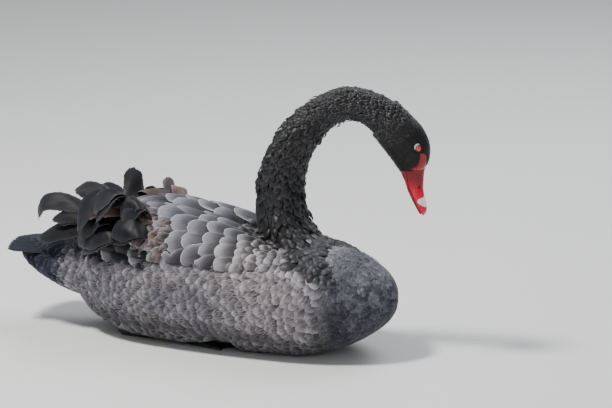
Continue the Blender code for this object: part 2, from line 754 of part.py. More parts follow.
def wing_shell(name, side):
    """The folded wing's plain body, laid on the hull."""
    rings = []
    for i in range(WING_STATIONS):
        x = WING_REAR_X + (WING_FRONT_X - WING_REAR_X) * i / (WING_STATIONS - 1)
        low, high, _, _ = wing_span(x)
        angles = [low + (high - low) * j / (WING_ROWS - 1) for j in range(WING_ROWS)]
        ring = [wing_place(x, angle, side, shell_out(x, angle)) for angle in angles]
        ring += [wing_place(x, angle, side, -WING_SUNK) for angle in reversed(angles)]
        rings.append(ring)
    return loft(name, rings, "wing_grey")


def wing_feathers(side):
    """All the feathers of one wing."""
    made = []
    for row, (x, count, length, width) in enumerate(FEATHER_ROWS):
        for i in range(count):
            share = (i + 0.25 + 0.5 * (row % 2)) / count
            degrees = FEATHER_LOW_ANGLE + (FEATHER_HIGH_ANGLE - FEATHER_LOW_ANGLE) * share
            wander = random.uniform(-ROW_WANDER, ROW_WANDER)
            made.append(laid_vane(side, x + wander, degrees, length, width))
    return made + [curled_vane(side, *row) for row in CURLED[side]]


def other_side(side):
    """A box over the other half of the bird."""
    far, near, tall = 0.4, 0.5 * GAP, 0.5
    rings = []
    for x in (-far, far):
        rings.append([
            Vector((x, y * side, z)) for y, z in ((near, -tall), (near, tall), (-far, tall), (-far, -tall))
        ])
    box = loft("other_side", rings, "wing_grey")
    box.hide_render = True
    box.display_type = "WIRE"
    return box


# The legs

def tube(name, path, radii, finish, sides=10, grow=0.0, floor=0.0):
    """A round limb through the points of a path, flat where it lies on the floor."""
    floor = -FLOOR_CUT if grow else floor
    rings = []
    last = len(path) - 1
    for i, (centre, radius) in enumerate(zip(path, radii)):
        ahead, behind = Vector(path[min(i + 1, last)]), Vector(path[max(i - 1, 0)])
        along = (ahead - behind).normalized()
        across = along.cross(Vector((0, 0, 1)) if abs(along.z) < 0.9 else Vector((1, 0, 0)))
        across.normalize()
        up = across.cross(along)
        middle = Vector(centre) + along * grow * ((i == last) - (i == 0))
        ring = []
        for j in range(sides):
            angle = 2 * math.pi * j / sides
            spot = middle + (across * math.cos(angle) + up * math.sin(angle)) * (radius + grow)
            ring.append(Vector((spot.x, spot.y, max(spot.z, floor))))
        rings.append(ring)
    return loft(name, rings, finish)


def leg_pieces(side, grow=0.0):
    """The shank on the floor and the lower thigh that rises into the belly."""
    heel = (HEEL[0], HEEL[1] * side, SHANK_RADIUS)
    head = (FOOT_HEAD[0] - SHANK_OVERLAP, FOOT_HEAD[1] * side, SHANK_RADIUS)
    thigh = (KNEE_TOP[0], KNEE_TOP[1] * side, KNEE_TOP[2])
    behind = (HEEL[0] - SHANK_RADIUS, HEEL[1] * side, SHANK_RADIUS)
    near_heel = (HEEL[0] + SHANK_OVERLAP, HEEL[1] * side, SHANK_RADIUS + THIGH_FOOT_LIFT)
    path = [behind, heel, head]
    radii = [HEEL_END_RADIUS, HEEL_RADIUS, SHANK_RADIUS]
    return [
        tube("shank", path, radii, "leg_black", grow=grow),
        tube("thigh", [near_heel, thigh], [SHANK_RADIUS, THIGH_RADIUS], "leg_black", grow=grow),
    ]


def foot_pieces(side, grow=0.0):
    """Three toes joined by a web, and the short hind toe."""
    base = Vector((FOOT_HEAD[0], FOOT_HEAD[1] * side, 0))
    rise = Vector((0, 0, TOE_RADIUS))
    tips, toes = [], []
    for length, degrees in zip(TOE_LENGTHS, TOE_ANGLES):
        angle = math.radians(degrees) * side
        tip = base + Vector((math.cos(angle), math.sin(angle), 0)) * length
        tips.append(tip)
        start = base - (tip - base) * TOE_START
        path = [start + rise, (base + tip) / 2 + rise, tip + Vector((0, 0, TOE_TIP_RADIUS))]
        radii = [TOE_RADIUS * 1.4, TOE_RADIUS, TOE_TIP_RADIUS]
        toes.append(tube("toe", path, radii, "leg_black", 8, grow, TOE_LIFT))
    hind_tip = base + Vector((-0.6 * HIND_TOE_LENGTH, -HIND_TOE_LENGTH * side, TOE_TIP_RADIUS))
    hind = [base + Vector((0, 0, HIND_TOE_HEIGHT)), hind_tip]
    radii = [HIND_TOE_RADIUS, TOE_TIP_RADIUS]
    toes.append(tube("hind_toe", hind, radii, "leg_black", 8, grow, TOE_LIFT))
    half_root = (WEB_ROOT_HALF_WIDTH + grow) * side
    outline = [base + Vector((-grow, -half_root, 0))]
    for first, second in zip(tips, tips[1:] + [None]):
        outline.append(first * WEB_REACH + base * (1 - WEB_REACH))
        if second:
            outline.append((first + second) / 2 * WEB_DIP + base * (1 - WEB_DIP))
    outline.append(base + Vector((-grow, half_root, 0)))
    middle = sum(outline, Vector()) / len(outline)
    outline = [p + (p - middle).normalized() * grow for p in outline]
    levels = (-FLOOR_CUT if grow else 0.0, WEB_THICKNESS + grow)
    web = loft("web", [[p + Vector((0, 0, z)) for p in outline] for z in levels], "leg_black")
    return [web] + toes


def fused(name, pieces):
    """One node out of overlapping closed pieces."""
    pieces[0].name = name
    join(pieces[0], pieces[1:])
    return pieces[0]


def main():
    for obj in list(bpy.data.objects):
        bpy.data.objects.remove(obj, do_unlink=True)
    random.seed(SEED)
    torso = make_torso()
    hull = swollen(torso, 0.0)
    neck = make_neck()
    neck_form = swollen(neck[0], 0.0)
    head = make_head_form()
    cut(head, [neck[2]])
    skull = swollen(head, 0.0)
    upper_bill, _, _, lower_bill = make_bill()
    cut(upper_bill, [skull])
    cut(lower_bill, [skull])
    cut_away(upper_bill, [make_nostril(1), make_nostril(-1)])
    eyes = [make_eye("eye_left", 1), make_eye("eye_right", -1)]
    join(head, [make_lids(1), make_lids(-1)])
    cut(head, eyes)
    cut(neck[0], [hull])
    tail = make_tail_form()
    tail_form = swollen(tail, 0.0)
    join(tail, [tail_vane(i) for i in range(TAIL_FEATHERS)])
    cut(tail, [hull])
    for ending, side in (("left", 1), ("right", -1)):
        wing = wing_shell("wing_" + ending, side)
        join(wing, wing_feathers(side))
        cut(wing, [hull, neck_form, tail_form])
        cut_away(wing, [other_side(side)])
        fused("leg_" + ending, leg_pieces(side))
        foot = fused("foot_" + ending, foot_pieces(side))
        cut_away(foot, leg_pieces(side, GAP))
        cut_away(torso, leg_pieces(side, GAP) + foot_pieces(side, GAP))
    for helper in (hull, skull, neck_form, tail_form):
        bpy.data.objects.remove(helper, do_unlink=True)
    for obj in bpy.data.objects:
        shade(obj)


main()
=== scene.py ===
"""The looks of a black swan, a still, life-size model in its plumage.

One skin takes the place of the flesh. It lies inside the solids by the depth of the coat, and
every feather is a vane of mesh that grows from it along the lie of the plumage. The bill and
the eyes are finer forms of the solids' own shapes. Metres, +Z up, the bill towards +X.
"""

import math

import bpy
import numpy as np
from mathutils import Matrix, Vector
from mathutils.bvhtree import BVHTree
from mathutils.kdtree import KDTree


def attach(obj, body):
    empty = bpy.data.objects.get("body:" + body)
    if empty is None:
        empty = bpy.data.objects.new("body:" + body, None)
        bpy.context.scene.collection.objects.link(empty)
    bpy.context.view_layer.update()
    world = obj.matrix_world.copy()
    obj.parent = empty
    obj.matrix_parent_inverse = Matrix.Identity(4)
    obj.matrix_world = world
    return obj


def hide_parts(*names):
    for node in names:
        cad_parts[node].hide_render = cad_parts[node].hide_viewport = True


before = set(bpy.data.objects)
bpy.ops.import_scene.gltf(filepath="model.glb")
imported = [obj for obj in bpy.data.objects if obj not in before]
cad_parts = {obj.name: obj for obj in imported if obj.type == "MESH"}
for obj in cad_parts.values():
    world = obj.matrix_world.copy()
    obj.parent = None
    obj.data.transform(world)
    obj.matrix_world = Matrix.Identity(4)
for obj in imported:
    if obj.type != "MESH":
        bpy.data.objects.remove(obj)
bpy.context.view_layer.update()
SEED = 11
RNG = np.random.default_rng(SEED)
SIDES = (("left", 1), ("right", -1))
FLOOR_CLEAR = 0.0003

# The hull, from the rump to the breast, as in the solids: (forward, value).
RUMP_X = -0.205
BREAST_X = 0.3125
BACK_HEIGHT = (
    (RUMP_X, 0.112), (-0.150, 0.160), (-0.070, 0.184), (0.020, 0.178), (0.100, 0.167),
    (0.185, 0.159), (0.240, 0.148), (0.285, 0.128), (0.305, 0.108), (BREAST_X, 0.088),
)
BELLY_HEIGHT = (
    (RUMP_X, 0.092), (-0.185, 0.052), (-0.140, 0.014), (-0.085, -0.004), (0.050, -0.007),
    (0.170, -0.004), (0.235, 0.010), (0.285, 0.038), (0.305, 0.062), (BREAST_X, 0.082),
)
HALF_WIDTH = (
    (RUMP_X, 0.012), (-0.185, 0.046), (-0.140, 0.078), (-0.060, 0.102), (0.050, 0.108),
    (0.150, 0.104), (0.220, 0.090), (0.270, 0.067), (0.300, 0.036), (BREAST_X, 0.006),
)
WIDEST_HEIGHT = ((RUMP_X, 0.102), (-0.100, 0.094), (0.100, 0.088), (BREAST_X, 0.085))
UPPER_ROUNDNESS = 2.1
LOWER_ROUNDNESS = 2.7

# The neck's centreline, base to nape: (forward, left, height, half depth, half width).
NECK_LINE = (
    (0.172, 0.000, 0.110, 0.052, 0.070), (0.152, 0.000, 0.142, 0.0430, 0.0510),
    (0.1375, 0.000, 0.172, 0.0380, 0.0415), (0.1305, 0.000, 0.207, 0.0362, 0.0360),
    (0.1305, 0.000, 0.240, 0.0335, 0.0325), (0.142, 0.000, 0.280, 0.0312, 0.0300),
    (0.171, 0.000, 0.3233, 0.0272, 0.0262), (0.2045, 0.0013, 0.351, 0.0242, 0.0232),
    (0.2350, 0.0046, 0.3622, 0.0240, 0.0230), (0.2655, 0.0100, 0.3560, 0.0242, 0.0230),
    (0.2877, 0.0152, 0.3413, 0.0280, 0.0236),
)

# The head, in its own turned frame: (forward, height, half depth, half width, tilt).
HEAD_TURN = 18.0
NAPE = (0.2877, 0.0152)
HEAD_SECTIONS = (
    (-0.0030, 0.3438, 0.0278, 0.0235, 56.0), (0.0126, 0.3272, 0.0303, 0.0246, 38.0),
    (0.0214, 0.3172, 0.0318, 0.0250, 31.0), (0.0273, 0.3082, 0.0315, 0.0246, 26.0),
    (0.0320, 0.2995, 0.0303, 0.0233, 22.0), (0.0355, 0.2900, 0.0277, 0.0211, 19.5),
    (0.0377, 0.2805, 0.0243, 0.0185, 18.0), (0.0389, 0.2735, 0.0198, 0.0158, 17.0),
    (0.0396, 0.2690, 0.0124, 0.0110, 17.0),
)
EYE_PLACE = (0.0464, 0.3054)
EYE_LOOKS = (0.43, 0.90, 0.10)
EYE_SET_OUT = 0.0198
EYE_RADIUS = 0.0064
EYE_BULGE = 0.0016
IRIS_RADIUS = 0.0044
PUPIL_RADIUS = 0.0013
LID_RADIUS = 0.0048
LID_THICKNESS = 0.0009
SOCKET_REACH = 0.0095
SOCKET_DEPTH = 0.0012

# The bill: (height, culmen, mouth line, lower edge, half width), forward of the nape.
BILL_SECTIONS = (
    (0.2830, 0.0530, 0.0285, 0.0180, 0.0140), (0.2720, 0.0545, 0.0290, 0.0192, 0.0136),
    (0.2554, 0.0526, 0.0304, 0.0256, 0.0122), (0.2417, 0.0520, 0.0354, 0.0300, 0.0113),
    (0.2306, 0.0534, 0.0400, 0.0352, 0.0112), (0.2210, 0.0558, 0.0444, 0.0400, 0.0110),
    (0.2130, 0.0572, 0.0482, 0.0442, 0.0092), (0.2080, 0.0562, 0.0502, 0.0470, 0.0066),
    (0.2052, 0.0536, 0.0512, 0.0488, 0.0034),
)
BILL_SLANT = 16.0
BAND_TOP = (0.2290, BILL_SLANT)
BAND_FOOT = (0.2266, -31.0)
BAND_START = 0.0040
BAND_MIDDLE = 0.2271
BAND_HALF_HEIGHT = 0.0034
BAND_ROUNDING = 0.0016
BAND_SOFTNESS = 0.0003
MOUTH_GAP = 0.0005
NOSTRIL_PLACE = (0.0470, 0.2490)
NOSTRIL_REACH = (0.0017, 0.0044)
NOSTRIL_DEPTH = 0.0024
PLACE_SPAN = (0.1, 0.4)

# The bare red skin between the eye and the bill: (rear edge, front edge) pairs, each
# (forward, height), from the eye downwards.
LORE_EDGES = (
    ((0.0478, 0.2980), (0.0535, 0.2975)), ((0.0480, 0.2945), (0.0566, 0.2938)),
    ((0.0478, 0.2895), (0.0568, 0.2885)), ((0.0462, 0.2840), (0.0566, 0.2835)),
    ((0.0420, 0.2790), (0.0562, 0.2780)), ((0.0340, 0.2750), (0.0556, 0.2720)),
)

# The folded wing, as in the solids.
WING_FRONT_X = 0.152
WING_REAR_X = -0.172
WING_LOWER_ANGLE = 27.0
WING_UPPER_ANGLE = 88.0
WING_THICKNESS = 0.009
WING_REAR_RISE = 0.016
WING_EDGE = 0.003

# The curled feathers at the rear of each wing, in millimetres and degrees: the root on the wing
# (forward, angle), the rise, the crest and the tip (forward, outwards, height), the width, and
# a roll of the vane.
CURLED = {
    -1: (
        (-100, 74, (-99, 50, 228), (-142, 78, 236), (-142, 100, 173), 44, 0),
        (-92, 66, (-81, 70, 231), (-108, 85, 239), (-118, 100, 190), 36, 0),
        (-130, 70, (-166, 40, 181), (-245, 43, 210), (-237, 46, 164), 30, 48),
        (-128, 52, (-156, 58, 161), (-203, 56, 152), (-237, 50, 133), 38, 38),
        (-128, 62, (-153, 45, 175), (-187, 47, 176), (-212, 48, 160), 32, 42),
        (-50, 62, (-46, 80, 219), (-68, 88, 220), (-79, 90, 184), 28, 30),
        (-40, 46, (-37, 98, 185), (-65, 106, 184), (-88, 104, 159), 40, 42),
        (-88, 42, (-86, 98, 171), (-111, 104, 168), (-143, 92, 137), 36, 46),
        (-105, 54, (-96, 86, 191), (-135, 96, 193), (-145, 90, 145), 36, 26),
    ),
    1: (
        (-120, 72, (-130, 45, 185), (-136, 55, 205), (-140, 60, 224), 29, 0),
        (-130, 68, (-179, 41, 181), (-202, 45, 198), (-230, 46, 183), 30, -48),
        (-120, 60, (-169, 58, 184), (-189, 64, 196), (-200, 64, 185), 28, -36),
        (-66, 68, (-77, 60, 187), (-82, 66, 200), (-88, 70, 213), 18, 0),
        (-128, 52, (-172, 60, 156), (-207, 59, 147), (-236, 52, 131), 36, 38),
        (-36, 44, (-53, 101, 185), (-76, 112, 179), (-104, 112, 140), 38, 34),
        (-92, 40, (-118, 103, 157), (-142, 108, 146), (-166, 90, 122), 36, 50),
        (-100, 66, (-104, 69, 204), (-115, 90, 198), (-136, 106, 150), 38, 0),
        (-105, 54, (-129, 90, 183), (-151, 101, 171), (-174, 90, 130), 36, 30),
    ),
}

# A few soft brown feathers between the coverts and the curled ones, in the same terms.
BROWN_TUFTS = (
    (-85, 62, (-95, 75, 196), (-115, 84, 192), (-136, 90, 180), 18, 50),
    (-70, 80, (-85, 42, 200), (-106, 54, 204), (-128, 60, 186), 32, 0),
    (-50, 75, (-56, 54, 196), (-66, 70, 206), (-78, 78, 197), 24, 15),
    (-34, 60, (-44, 74, 186), (-56, 82, 190), (-70, 88, 176), 22, 30),
)

# The breadth along a curled vane, where it droops and where it stands: (place, share).
CURLED_OUTLINE = (
    (0.0, 0.50), (0.22, 0.84), (0.44, 1.0), (0.64, 1.0), (0.84, 0.94), (1.0, 0.62),
)
UPRIGHT_OUTLINE = (
    (0.0, 1.60), (0.25, 1.36), (0.50, 1.08), (0.75, 0.98), (0.90, 0.94), (1.0, 0.74),
)

# The tail: a wedge of coverts, then the fan of tail feathers.
TAIL_SECTIONS = (
    (-0.150, 0.040, 0.138, 0.060), (-0.190, 0.047, 0.128, 0.062), (-0.220, 0.058, 0.120, 0.056),
    (-0.250, 0.072, 0.115, 0.046), (-0.272, 0.087, 0.113, 0.032), (-0.284, 0.099, 0.112, 0.014),
)
TAIL_ROOT = (-0.212, 0.1125)
TAIL_FEATHERS = 15
TAIL_SPREAD = 19.0
TAIL_ROOT_SPREAD = 0.026
TAIL_LENGTH = 0.090
TAIL_ROUNDING = 0.09
TAIL_WIDTH = 0.025

# The tucked legs: the skin draws back from the heel, the shank and the toes.
HEEL = (-0.102, 0.045)
FOOT_HEAD = (-0.014, 0.045)
TOE_REACH = 0.100

# How far the skin lies inside the solids, by region.
HULL_COAT = 0.0042
NECK_COAT = 0.0034
NAPE_COAT = 0.0022
HEAD_COAT = 0.0009
TAIL_COAT = 0.0030
WING_COAT = 0.0015
WING_FOUNDATION = 0.011
SKIN_VOXEL = 0.0018
SKIN_FLOOR = 0.0036

# A vane: how many barbs to the metre, how far each runs on towards the tip, the curve of its
# lift, how much one edge of a large feather lies under its neighbour, and its patch on the map
# for baking.
BARBS_PER_METRE = 1500.0
BARB_SLANT = 0.45
LIFT_CURVE = 1.3
SHINGLE = 0.0009
BAKE_PATCH = 0.003

# Colours of the plumage and the bare parts, linear.
NECK_BLACK = np.array((0.0042, 0.0042, 0.0050))
SCALE_BLACK = np.array((0.0058, 0.0058, 0.0070))
HEAD_BLACK = np.array((0.0060, 0.0056, 0.0058))
BREAST_GREY = np.array((0.082, 0.083, 0.102))
SIDE_GREY = np.array((0.245, 0.226, 0.238))
BELLY_GREY = np.array((0.095, 0.090, 0.096))
WING_GREY = np.array((0.064, 0.061, 0.072))
# The wing's grey made paler and bluer on top: painted sky light.
WING_TOP_PAINTED_SKYLIGHT = np.array((0.084, 0.085, 0.102))
REAR_BLACK = np.array((0.0060, 0.0062, 0.0085))
TAIL_SLATE = np.array((0.0085, 0.0110, 0.0185))
WARM_BROWN = np.array((0.150, 0.105, 0.095))
PALE_EDGE = np.array((0.66, 0.65, 0.70))

# The vanes' materials: the roughness, the sheen, the height of the barbs, how much they streak,
# the gloss, and the painted shade at the root and the painted light at the tip.
PLUMAGE = {
    "head": (0.55, 0.34, 0.0001, 0.15, 0.30, 0.80, 1.15),
    # The neck's high tip value paints a strong highlight on each tuft.
    "neck": (0.50, 0.10, 0.0001, 0.25, 0.38, 0.15, 4.60),
    "soft": (0.75, 0.15, 0.0001, 0.12, 0.15, 0.30, 1.40),
    "down": (0.85, 0.15, 0.0001, 0.10, 0.10, 0.90, 1.15),
    "wing": (0.55, 0.08, 0.0002, 0.08, 0.30, 0.20, 1.45),
    "dark": (0.52, 0.04, 0.0001, 0.12, 0.20, 0.50, 1.50),
}


# Small number tools

def unit(v):
    """Vectors at length one."""
    return v / np.maximum(np.linalg.norm(v, axis=-1, keepdims=True), 1e-12)


def dot(a, b):
    return (a * b).sum(-1, keepdims=True)


def ramp(value, low, high):
    """A smooth rise from 0 at low to 1 at high."""
    t = np.clip((value - low) / (high - low), 0.0, 1.0)
    return t * t * (3 - 2 * t)


def mix(a, b, share):
    """From a to b, row by row."""
    share = np.asarray(share)[..., None]
    return np.asarray(a) * (1 - share) + np.asarray(b) * share


def smooth_line(keys):
    """A smooth function through (place, value) keys that doesn't swing past them."""
    places, values = np.array(sorted(keys), float).T
    steps = np.diff(places)
    slopes = np.diff(values) / steps
    tangents = np.zeros(len(places))
    tangents[0], tangents[-1] = slopes[0], slopes[-1]
    for i in range(1, len(places) - 1):
        if slopes[i - 1] * slopes[i] > 0:
            tangents[i] = 2 * slopes[i - 1] * slopes[i] / (slopes[i - 1] + slopes[i])

    def value_at(place):
        place = np.clip(np.asarray(place, float), places[0], places[-1])
        i = np.clip(np.searchsorted(places, place, side="right") - 1, 0, len(steps) - 1)
        t = (place - places[i]) / steps[i]
        rest = 1 - t
        return (
            values[i] * (1 + 2 * t) * rest * rest + values[i + 1] * t * t * (3 - 2 * t)
            + steps[i] * t * rest * (tangents[i] * rest - tangents[i + 1] * t)
        )

    return value_at


def curves_through(table):
    """For each column of a table, its value by the share of the way down."""
    places = np.linspace(0, 1, len(table))
    return [smooth_line(list(zip(places, column))) for column in zip(*table)]


def speckle(points, size, seed):
    """Smooth noise from 0 to 1 in space, its grains about this size."""
    spots = points / size + seed * 17.3
    base = np.floor(spots)
    part = spots - base
    part = part * part * (3 - 2 * part)
    total = np.zeros(len(points))
    for corner in range(8):
        shift = np.array([corner & 1, corner >> 1 & 1, corner >> 2 & 1], float)
        cell = base + shift
        wave = np.sin(cell[:, 0] * 127.1 + cell[:, 1] * 311.7 + cell[:, 2] * 74.7 + seed) * 43758.5
        weight = np.prod(np.where(shift > 0, part, 1 - part), axis=1)
        total += weight * (wave - np.floor(wave))
    return total


# The forms shared with the solids

back_height = smooth_line(BACK_HEIGHT)
belly_height = smooth_line(BELLY_HEIGHT)
half_width = smooth_line(HALF_WIDTH)
widest_height = smooth_line(WIDEST_HEIGHT)


def hull_surface(x, degrees):
    """The hull's points at x, at angles round it from the left side over the back."""
    x, angle = np.broadcast_arrays(np.asarray(x, float), np.radians(degrees))
    side, rise = np.cos(angle), np.sin(angle)
    middle = widest_height(x)
    reach = np.where(rise >= 0, back_height(x) - middle, middle - belly_height(x))
    power = np.where(rise >= 0, 2 / UPPER_ROUNDNESS, 2 / LOWER_ROUNDNESS)
    across = half_width(x) * np.sign(side) * np.abs(side) ** power
    up = middle + reach * np.sign(rise) * np.abs(rise) ** power
    return np.stack([x, across, np.maximum(up, 0.0)], -1)


def hull_point(x, degrees, out):
    """A point over the hull by a distance along its normal."""
    step_x, step_a = 0.004, 3.0
    along = hull_surface(x + step_x, degrees) - hull_surface(x - step_x, degrees)
    round_it = hull_surface(x, degrees + step_a) - hull_surface(x, degrees - step_a)
    normal = unit(np.cross(round_it, along))
    return hull_surface(x, degrees) + normal * np.asarray(out)[..., None]


NECK_CURVES = curves_through(NECK_LINE)
HEAD_CURVES = curves_through(HEAD_SECTIONS)
BILL_CURVES = [
    smooth_line([(section[0], section[k]) for section in BILL_SECTIONS]) for k in range(1, 5)
]
mouth_line = BILL_CURVES[1]
HEAD_AHEAD = np.array([math.cos(math.radians(HEAD_TURN)), math.sin(math.radians(HEAD_TURN)), 0])
HEAD_LEFT = np.array([-HEAD_AHEAD[1], HEAD_AHEAD[0], 0])
HEAD_ORIGIN = np.array([NAPE[0], NAPE[1], 0])
UP = np.array([0.0, 0.0, 1.0])


def neck_centre(share):
    return np.stack([curve(share) for curve in NECK_CURVES[:3]], -1)


def square_to(along):
    """The directions across and above a line, from the way that it runs."""
    across = unit(np.array([0, 1.0, 0]) - along * along[:, 1:2])
    return across, np.cross(across, along)


def head_place(forward, height, left=0.0):
    """A point in the head's own turned frame."""
    forward, height, left = (np.asarray(v, float)[..., None] for v in (forward, height, left))
    return HEAD_ORIGIN + HEAD_AHEAD * forward + UP * height + HEAD_LEFT * left


def eye_place(side):
    return head_place(*EYE_PLACE, side * EYE_SET_OUT)


def head_coordinates(points):
    """Forward and left of the nape, and the height, of points in space."""
    away = points - HEAD_ORIGIN
    return away @ HEAD_AHEAD, away @ HEAD_LEFT, points[..., 2]


def wing_span(x):
    """The lowest and highest angle of the wing at x, how full it is there, and the share."""
    share = (x - WING_REAR_X) / (WING_FRONT_X - WING_REAR_X)
    fullness = np.sin(np.pi * np.clip(share, 0.03, 0.97)) ** 0.4
    low = WING_LOWER_ANGLE + 14 * (1 - fullness)
    high = WING_UPPER_ANGLE - 30 * (1 - fullness)
    return low, high, fullness, np.clip(share, 0.0, 1.0)


def shell_out(x, degrees):
    """How far the wing's plain surface stands off the hull."""
    low, high, fullness, share = wing_span(x)
    row = (degrees - low) / (high - low)
    edge = np.sin(np.pi * np.clip(row, 0.04, 0.96)) ** 0.5
    thickness = WING_THICKNESS + WING_REAR_RISE * (1 - share) * np.clip(row, 0.0, 1.0)
    return np.maximum(thickness * edge * fullness, WING_EDGE)


def on_side(points, side):
    """The same points on the left where side is 1, or mirrored to the right."""
    return points * np.array([1, side, 1])


def on_wing(x, degrees, side, share=1.0):
    """Points on the wing's plain surface, or at a share of its height over the hull."""
    return on_side(hull_point(x, degrees, shell_out(x, degrees) * share), side)


# Meshes

def new_mesh(name, points, quads, finish):
    """A mesh object from arrays of points and of four-cornered faces."""
    mesh = bpy.data.meshes.new(name)
    points = np.ascontiguousarray(points, np.float32).reshape(-1, 3)
    quads = np.ascontiguousarray(quads, np.int32).reshape(-1, 4)
    mesh.vertices.add(len(points))
    mesh.vertices.foreach_set("co", points.ravel())
    mesh.loops.add(quads.size)
    mesh.loops.foreach_set("vertex_index", quads.ravel())
    mesh.polygons.add(len(quads))
    mesh.polygons.foreach_set("loop_start", np.arange(0, quads.size, 4, dtype=np.int32))
    mesh.update(calc_edges=True)
    mesh.shade_smooth()
    if finish:
        mesh.materials.append(finish)
    made = bpy.data.objects.new(name, mesh)
    bpy.context.scene.collection.objects.link(made)
    return made


def vectors_of(mesh, name):
    """The places or the normals of a mesh's points."""
    values = np.zeros(len(mesh.vertices) * 3, np.float32)
    mesh.vertices.foreach_get(name, values)
    return values.reshape(-1, 3).astype(float)


def set_values(obj, name, values):
    """A number or a colour for each point, for the material to read."""
    values = np.asarray(values, np.float32)
    if values.ndim == 2:
        layer = obj.data.color_attributes.new(name, "FLOAT_COLOR", "POINT")
        full = np.ones((len(values), 4), np.float32)
        full[:, :3] = values
        layer.data.foreach_set("color", full.ravel())
    else:
        layer = obj.data.attributes.new(name, "FLOAT", "POINT")
        layer.data.foreach_set("value", values)


def set_map(obj, name, places):
    """A UV map from one place for each point."""
    corners = np.zeros(len(obj.data.loops), np.int32)
    obj.data.loops.foreach_get("vertex_index", corners)
    layer = obj.data.uv_layers.new(name=name)
    layer.data.foreach_set("uv", np.asarray(places, np.float32)[corners].ravel())


def tube_quads(rings, sides):
    """Faces that join closed rings, each of this many points."""
    i, j = np.meshgrid(np.arange(rings - 1), np.arange(sides), indexing="ij")
    a, b = i * sides + j, i * sides + (j + 1) % sides
    return np.stack([a, b, b + sides, a + sides], -1).reshape(-1, 4)


def closed_tube(rings):
    """Points and faces of a tube whose ends shrink to small caps."""
    caps = [ring.mean(0) + (ring - ring.mean(0)) * 0.02 for ring in (rings[0], rings[-1])]
    full = np.concatenate([caps[:1], rings, caps[1:]])
    sides = full.shape[1]
    quads = [tube_quads(len(full), sides)]
    for ring, turned in ((0, True), (len(full) - 1, False)):
        first = ring * sides
        for j in range(sides // 2 - 1):
            quad = [first + j, first + j + 1, first + sides - 2 - j, first + sides - 1 - j]
            quads.append([quad[::-1] if turned else quad])
    return full.reshape(-1, 3), np.concatenate(quads)


def finished(piece, slot, *nodes):
    """Ties a piece to the body and hides the solids that it stands for."""
    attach(piece, "root")
    if nodes:
        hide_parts(*nodes)
    return piece


# Materials

class Wire:
    """The output of a shader node. Sums with it add the nodes that work them out."""

    def __init__(self, tree, socket):
        self.tree = tree
        self.socket = socket

    def calc(self, operation, *others):
        return add_node(self.tree, "ShaderNodeMath", (self, *others), operation=operation)

    def __add__(self, other):
        return self.calc("ADD", other)

    def __sub__(self, other):
        return self.calc("SUBTRACT", other)

    def __mul__(self, other):
        return self.calc("MULTIPLY", other)

    def __truediv__(self, other):
        return self.calc("DIVIDE", other)

    def ramp(self, low, high, to_low=0.0, to_high=1.0):
        """A smooth step from to_low, where this is low, to to_high."""
        return add_node(self.tree, "ShaderNodeMapRange", (self, low, high, to_low, to_high),
                        interpolation_type="SMOOTHSTEP")

    def blend(self, a, b):
        """Colour a where this is 0, and b where it is 1."""
        return add_node(self.tree, "ShaderNodeMix", {0: self, 6: a, 7: b}, 2, data_type="RGBA")


def feed(value, socket):
    """Sets a socket, or links a wire to it."""
    if isinstance(value, Wire):
        value.tree.links.new(value.socket, socket)
    elif np.ndim(value) and len(socket.default_value) == 4:
        socket.default_value = (*value[:3], 1.0)
    else:
        socket.default_value = value


def add_node(tree, kind, inputs=(), output=0, **settings):
    """One output of a new node. Its inputs come in order, or by their names or numbers."""
    made = tree.nodes.new(kind)
    for key, value in settings.items():
        setattr(made, key, value)
    named = inputs if isinstance(inputs, dict) else dict(enumerate(inputs))
    for key, value in named.items():
        feed(value, made.inputs[key])
    return Wire(tree, made.outputs[output])


class Finish:
    """A new material, and what its nodes are most often made of."""

    def __init__(self, name):
        self.material = bpy.data.materials.new(name)
        self.material.use_nodes = True
        self.tree = self.material.node_tree

    def add(self, kind, inputs=(), output=0, **settings):
        return add_node(self.tree, kind, inputs, output, **settings)

    def position(self):
        return self.add("ShaderNodeNewGeometry", output="Position")

    def attribute(self, name, output="Fac"):
        return self.add("ShaderNodeAttribute", output=output, attribute_name=name)

    def place_on(self, name):
        """Both coordinates of a map."""
        spot = self.add("ShaderNodeUVMap", uv_map=name)
        first = self.add("ShaderNodeSeparateXYZ", (spot,))
        return first, Wire(self.tree, first.socket.node.outputs[1])

    def noise(self, vector, scale, detail=2.0, roughness=0.5):
        return self.add("ShaderNodeTexNoise", {
            "Vector": vector, "Scale": scale, "Detail": detail, "Roughness": roughness}, "Fac")

    def cells(self, vector, scale):
        """How far a point lies from the border of its cell."""
        return self.add("ShaderNodeTexVoronoi", {"Vector": vector, "Scale": scale}, "Distance",
                        feature="DISTANCE_TO_EDGE")

    def vector(self, *values):
        return self.add("ShaderNodeCombineXYZ", values)

    def shaded(self, colour, share):
        return self.add("ShaderNodeVectorMath", {0: colour, "Scale": share}, operation="SCALE")

    def relief(self, height, distance):
        return self.add("ShaderNodeBump", {"Height": height, "Distance": distance}, "Normal")

    def surface(self, **values):
        """Sets the shader's sockets, each written here with _ for a space."""
        shader = self.tree.nodes["Principled BSDF"]
        for key, value in values.items():
            feed(value, shader.inputs[key.replace("_", " ")])
        return self.material


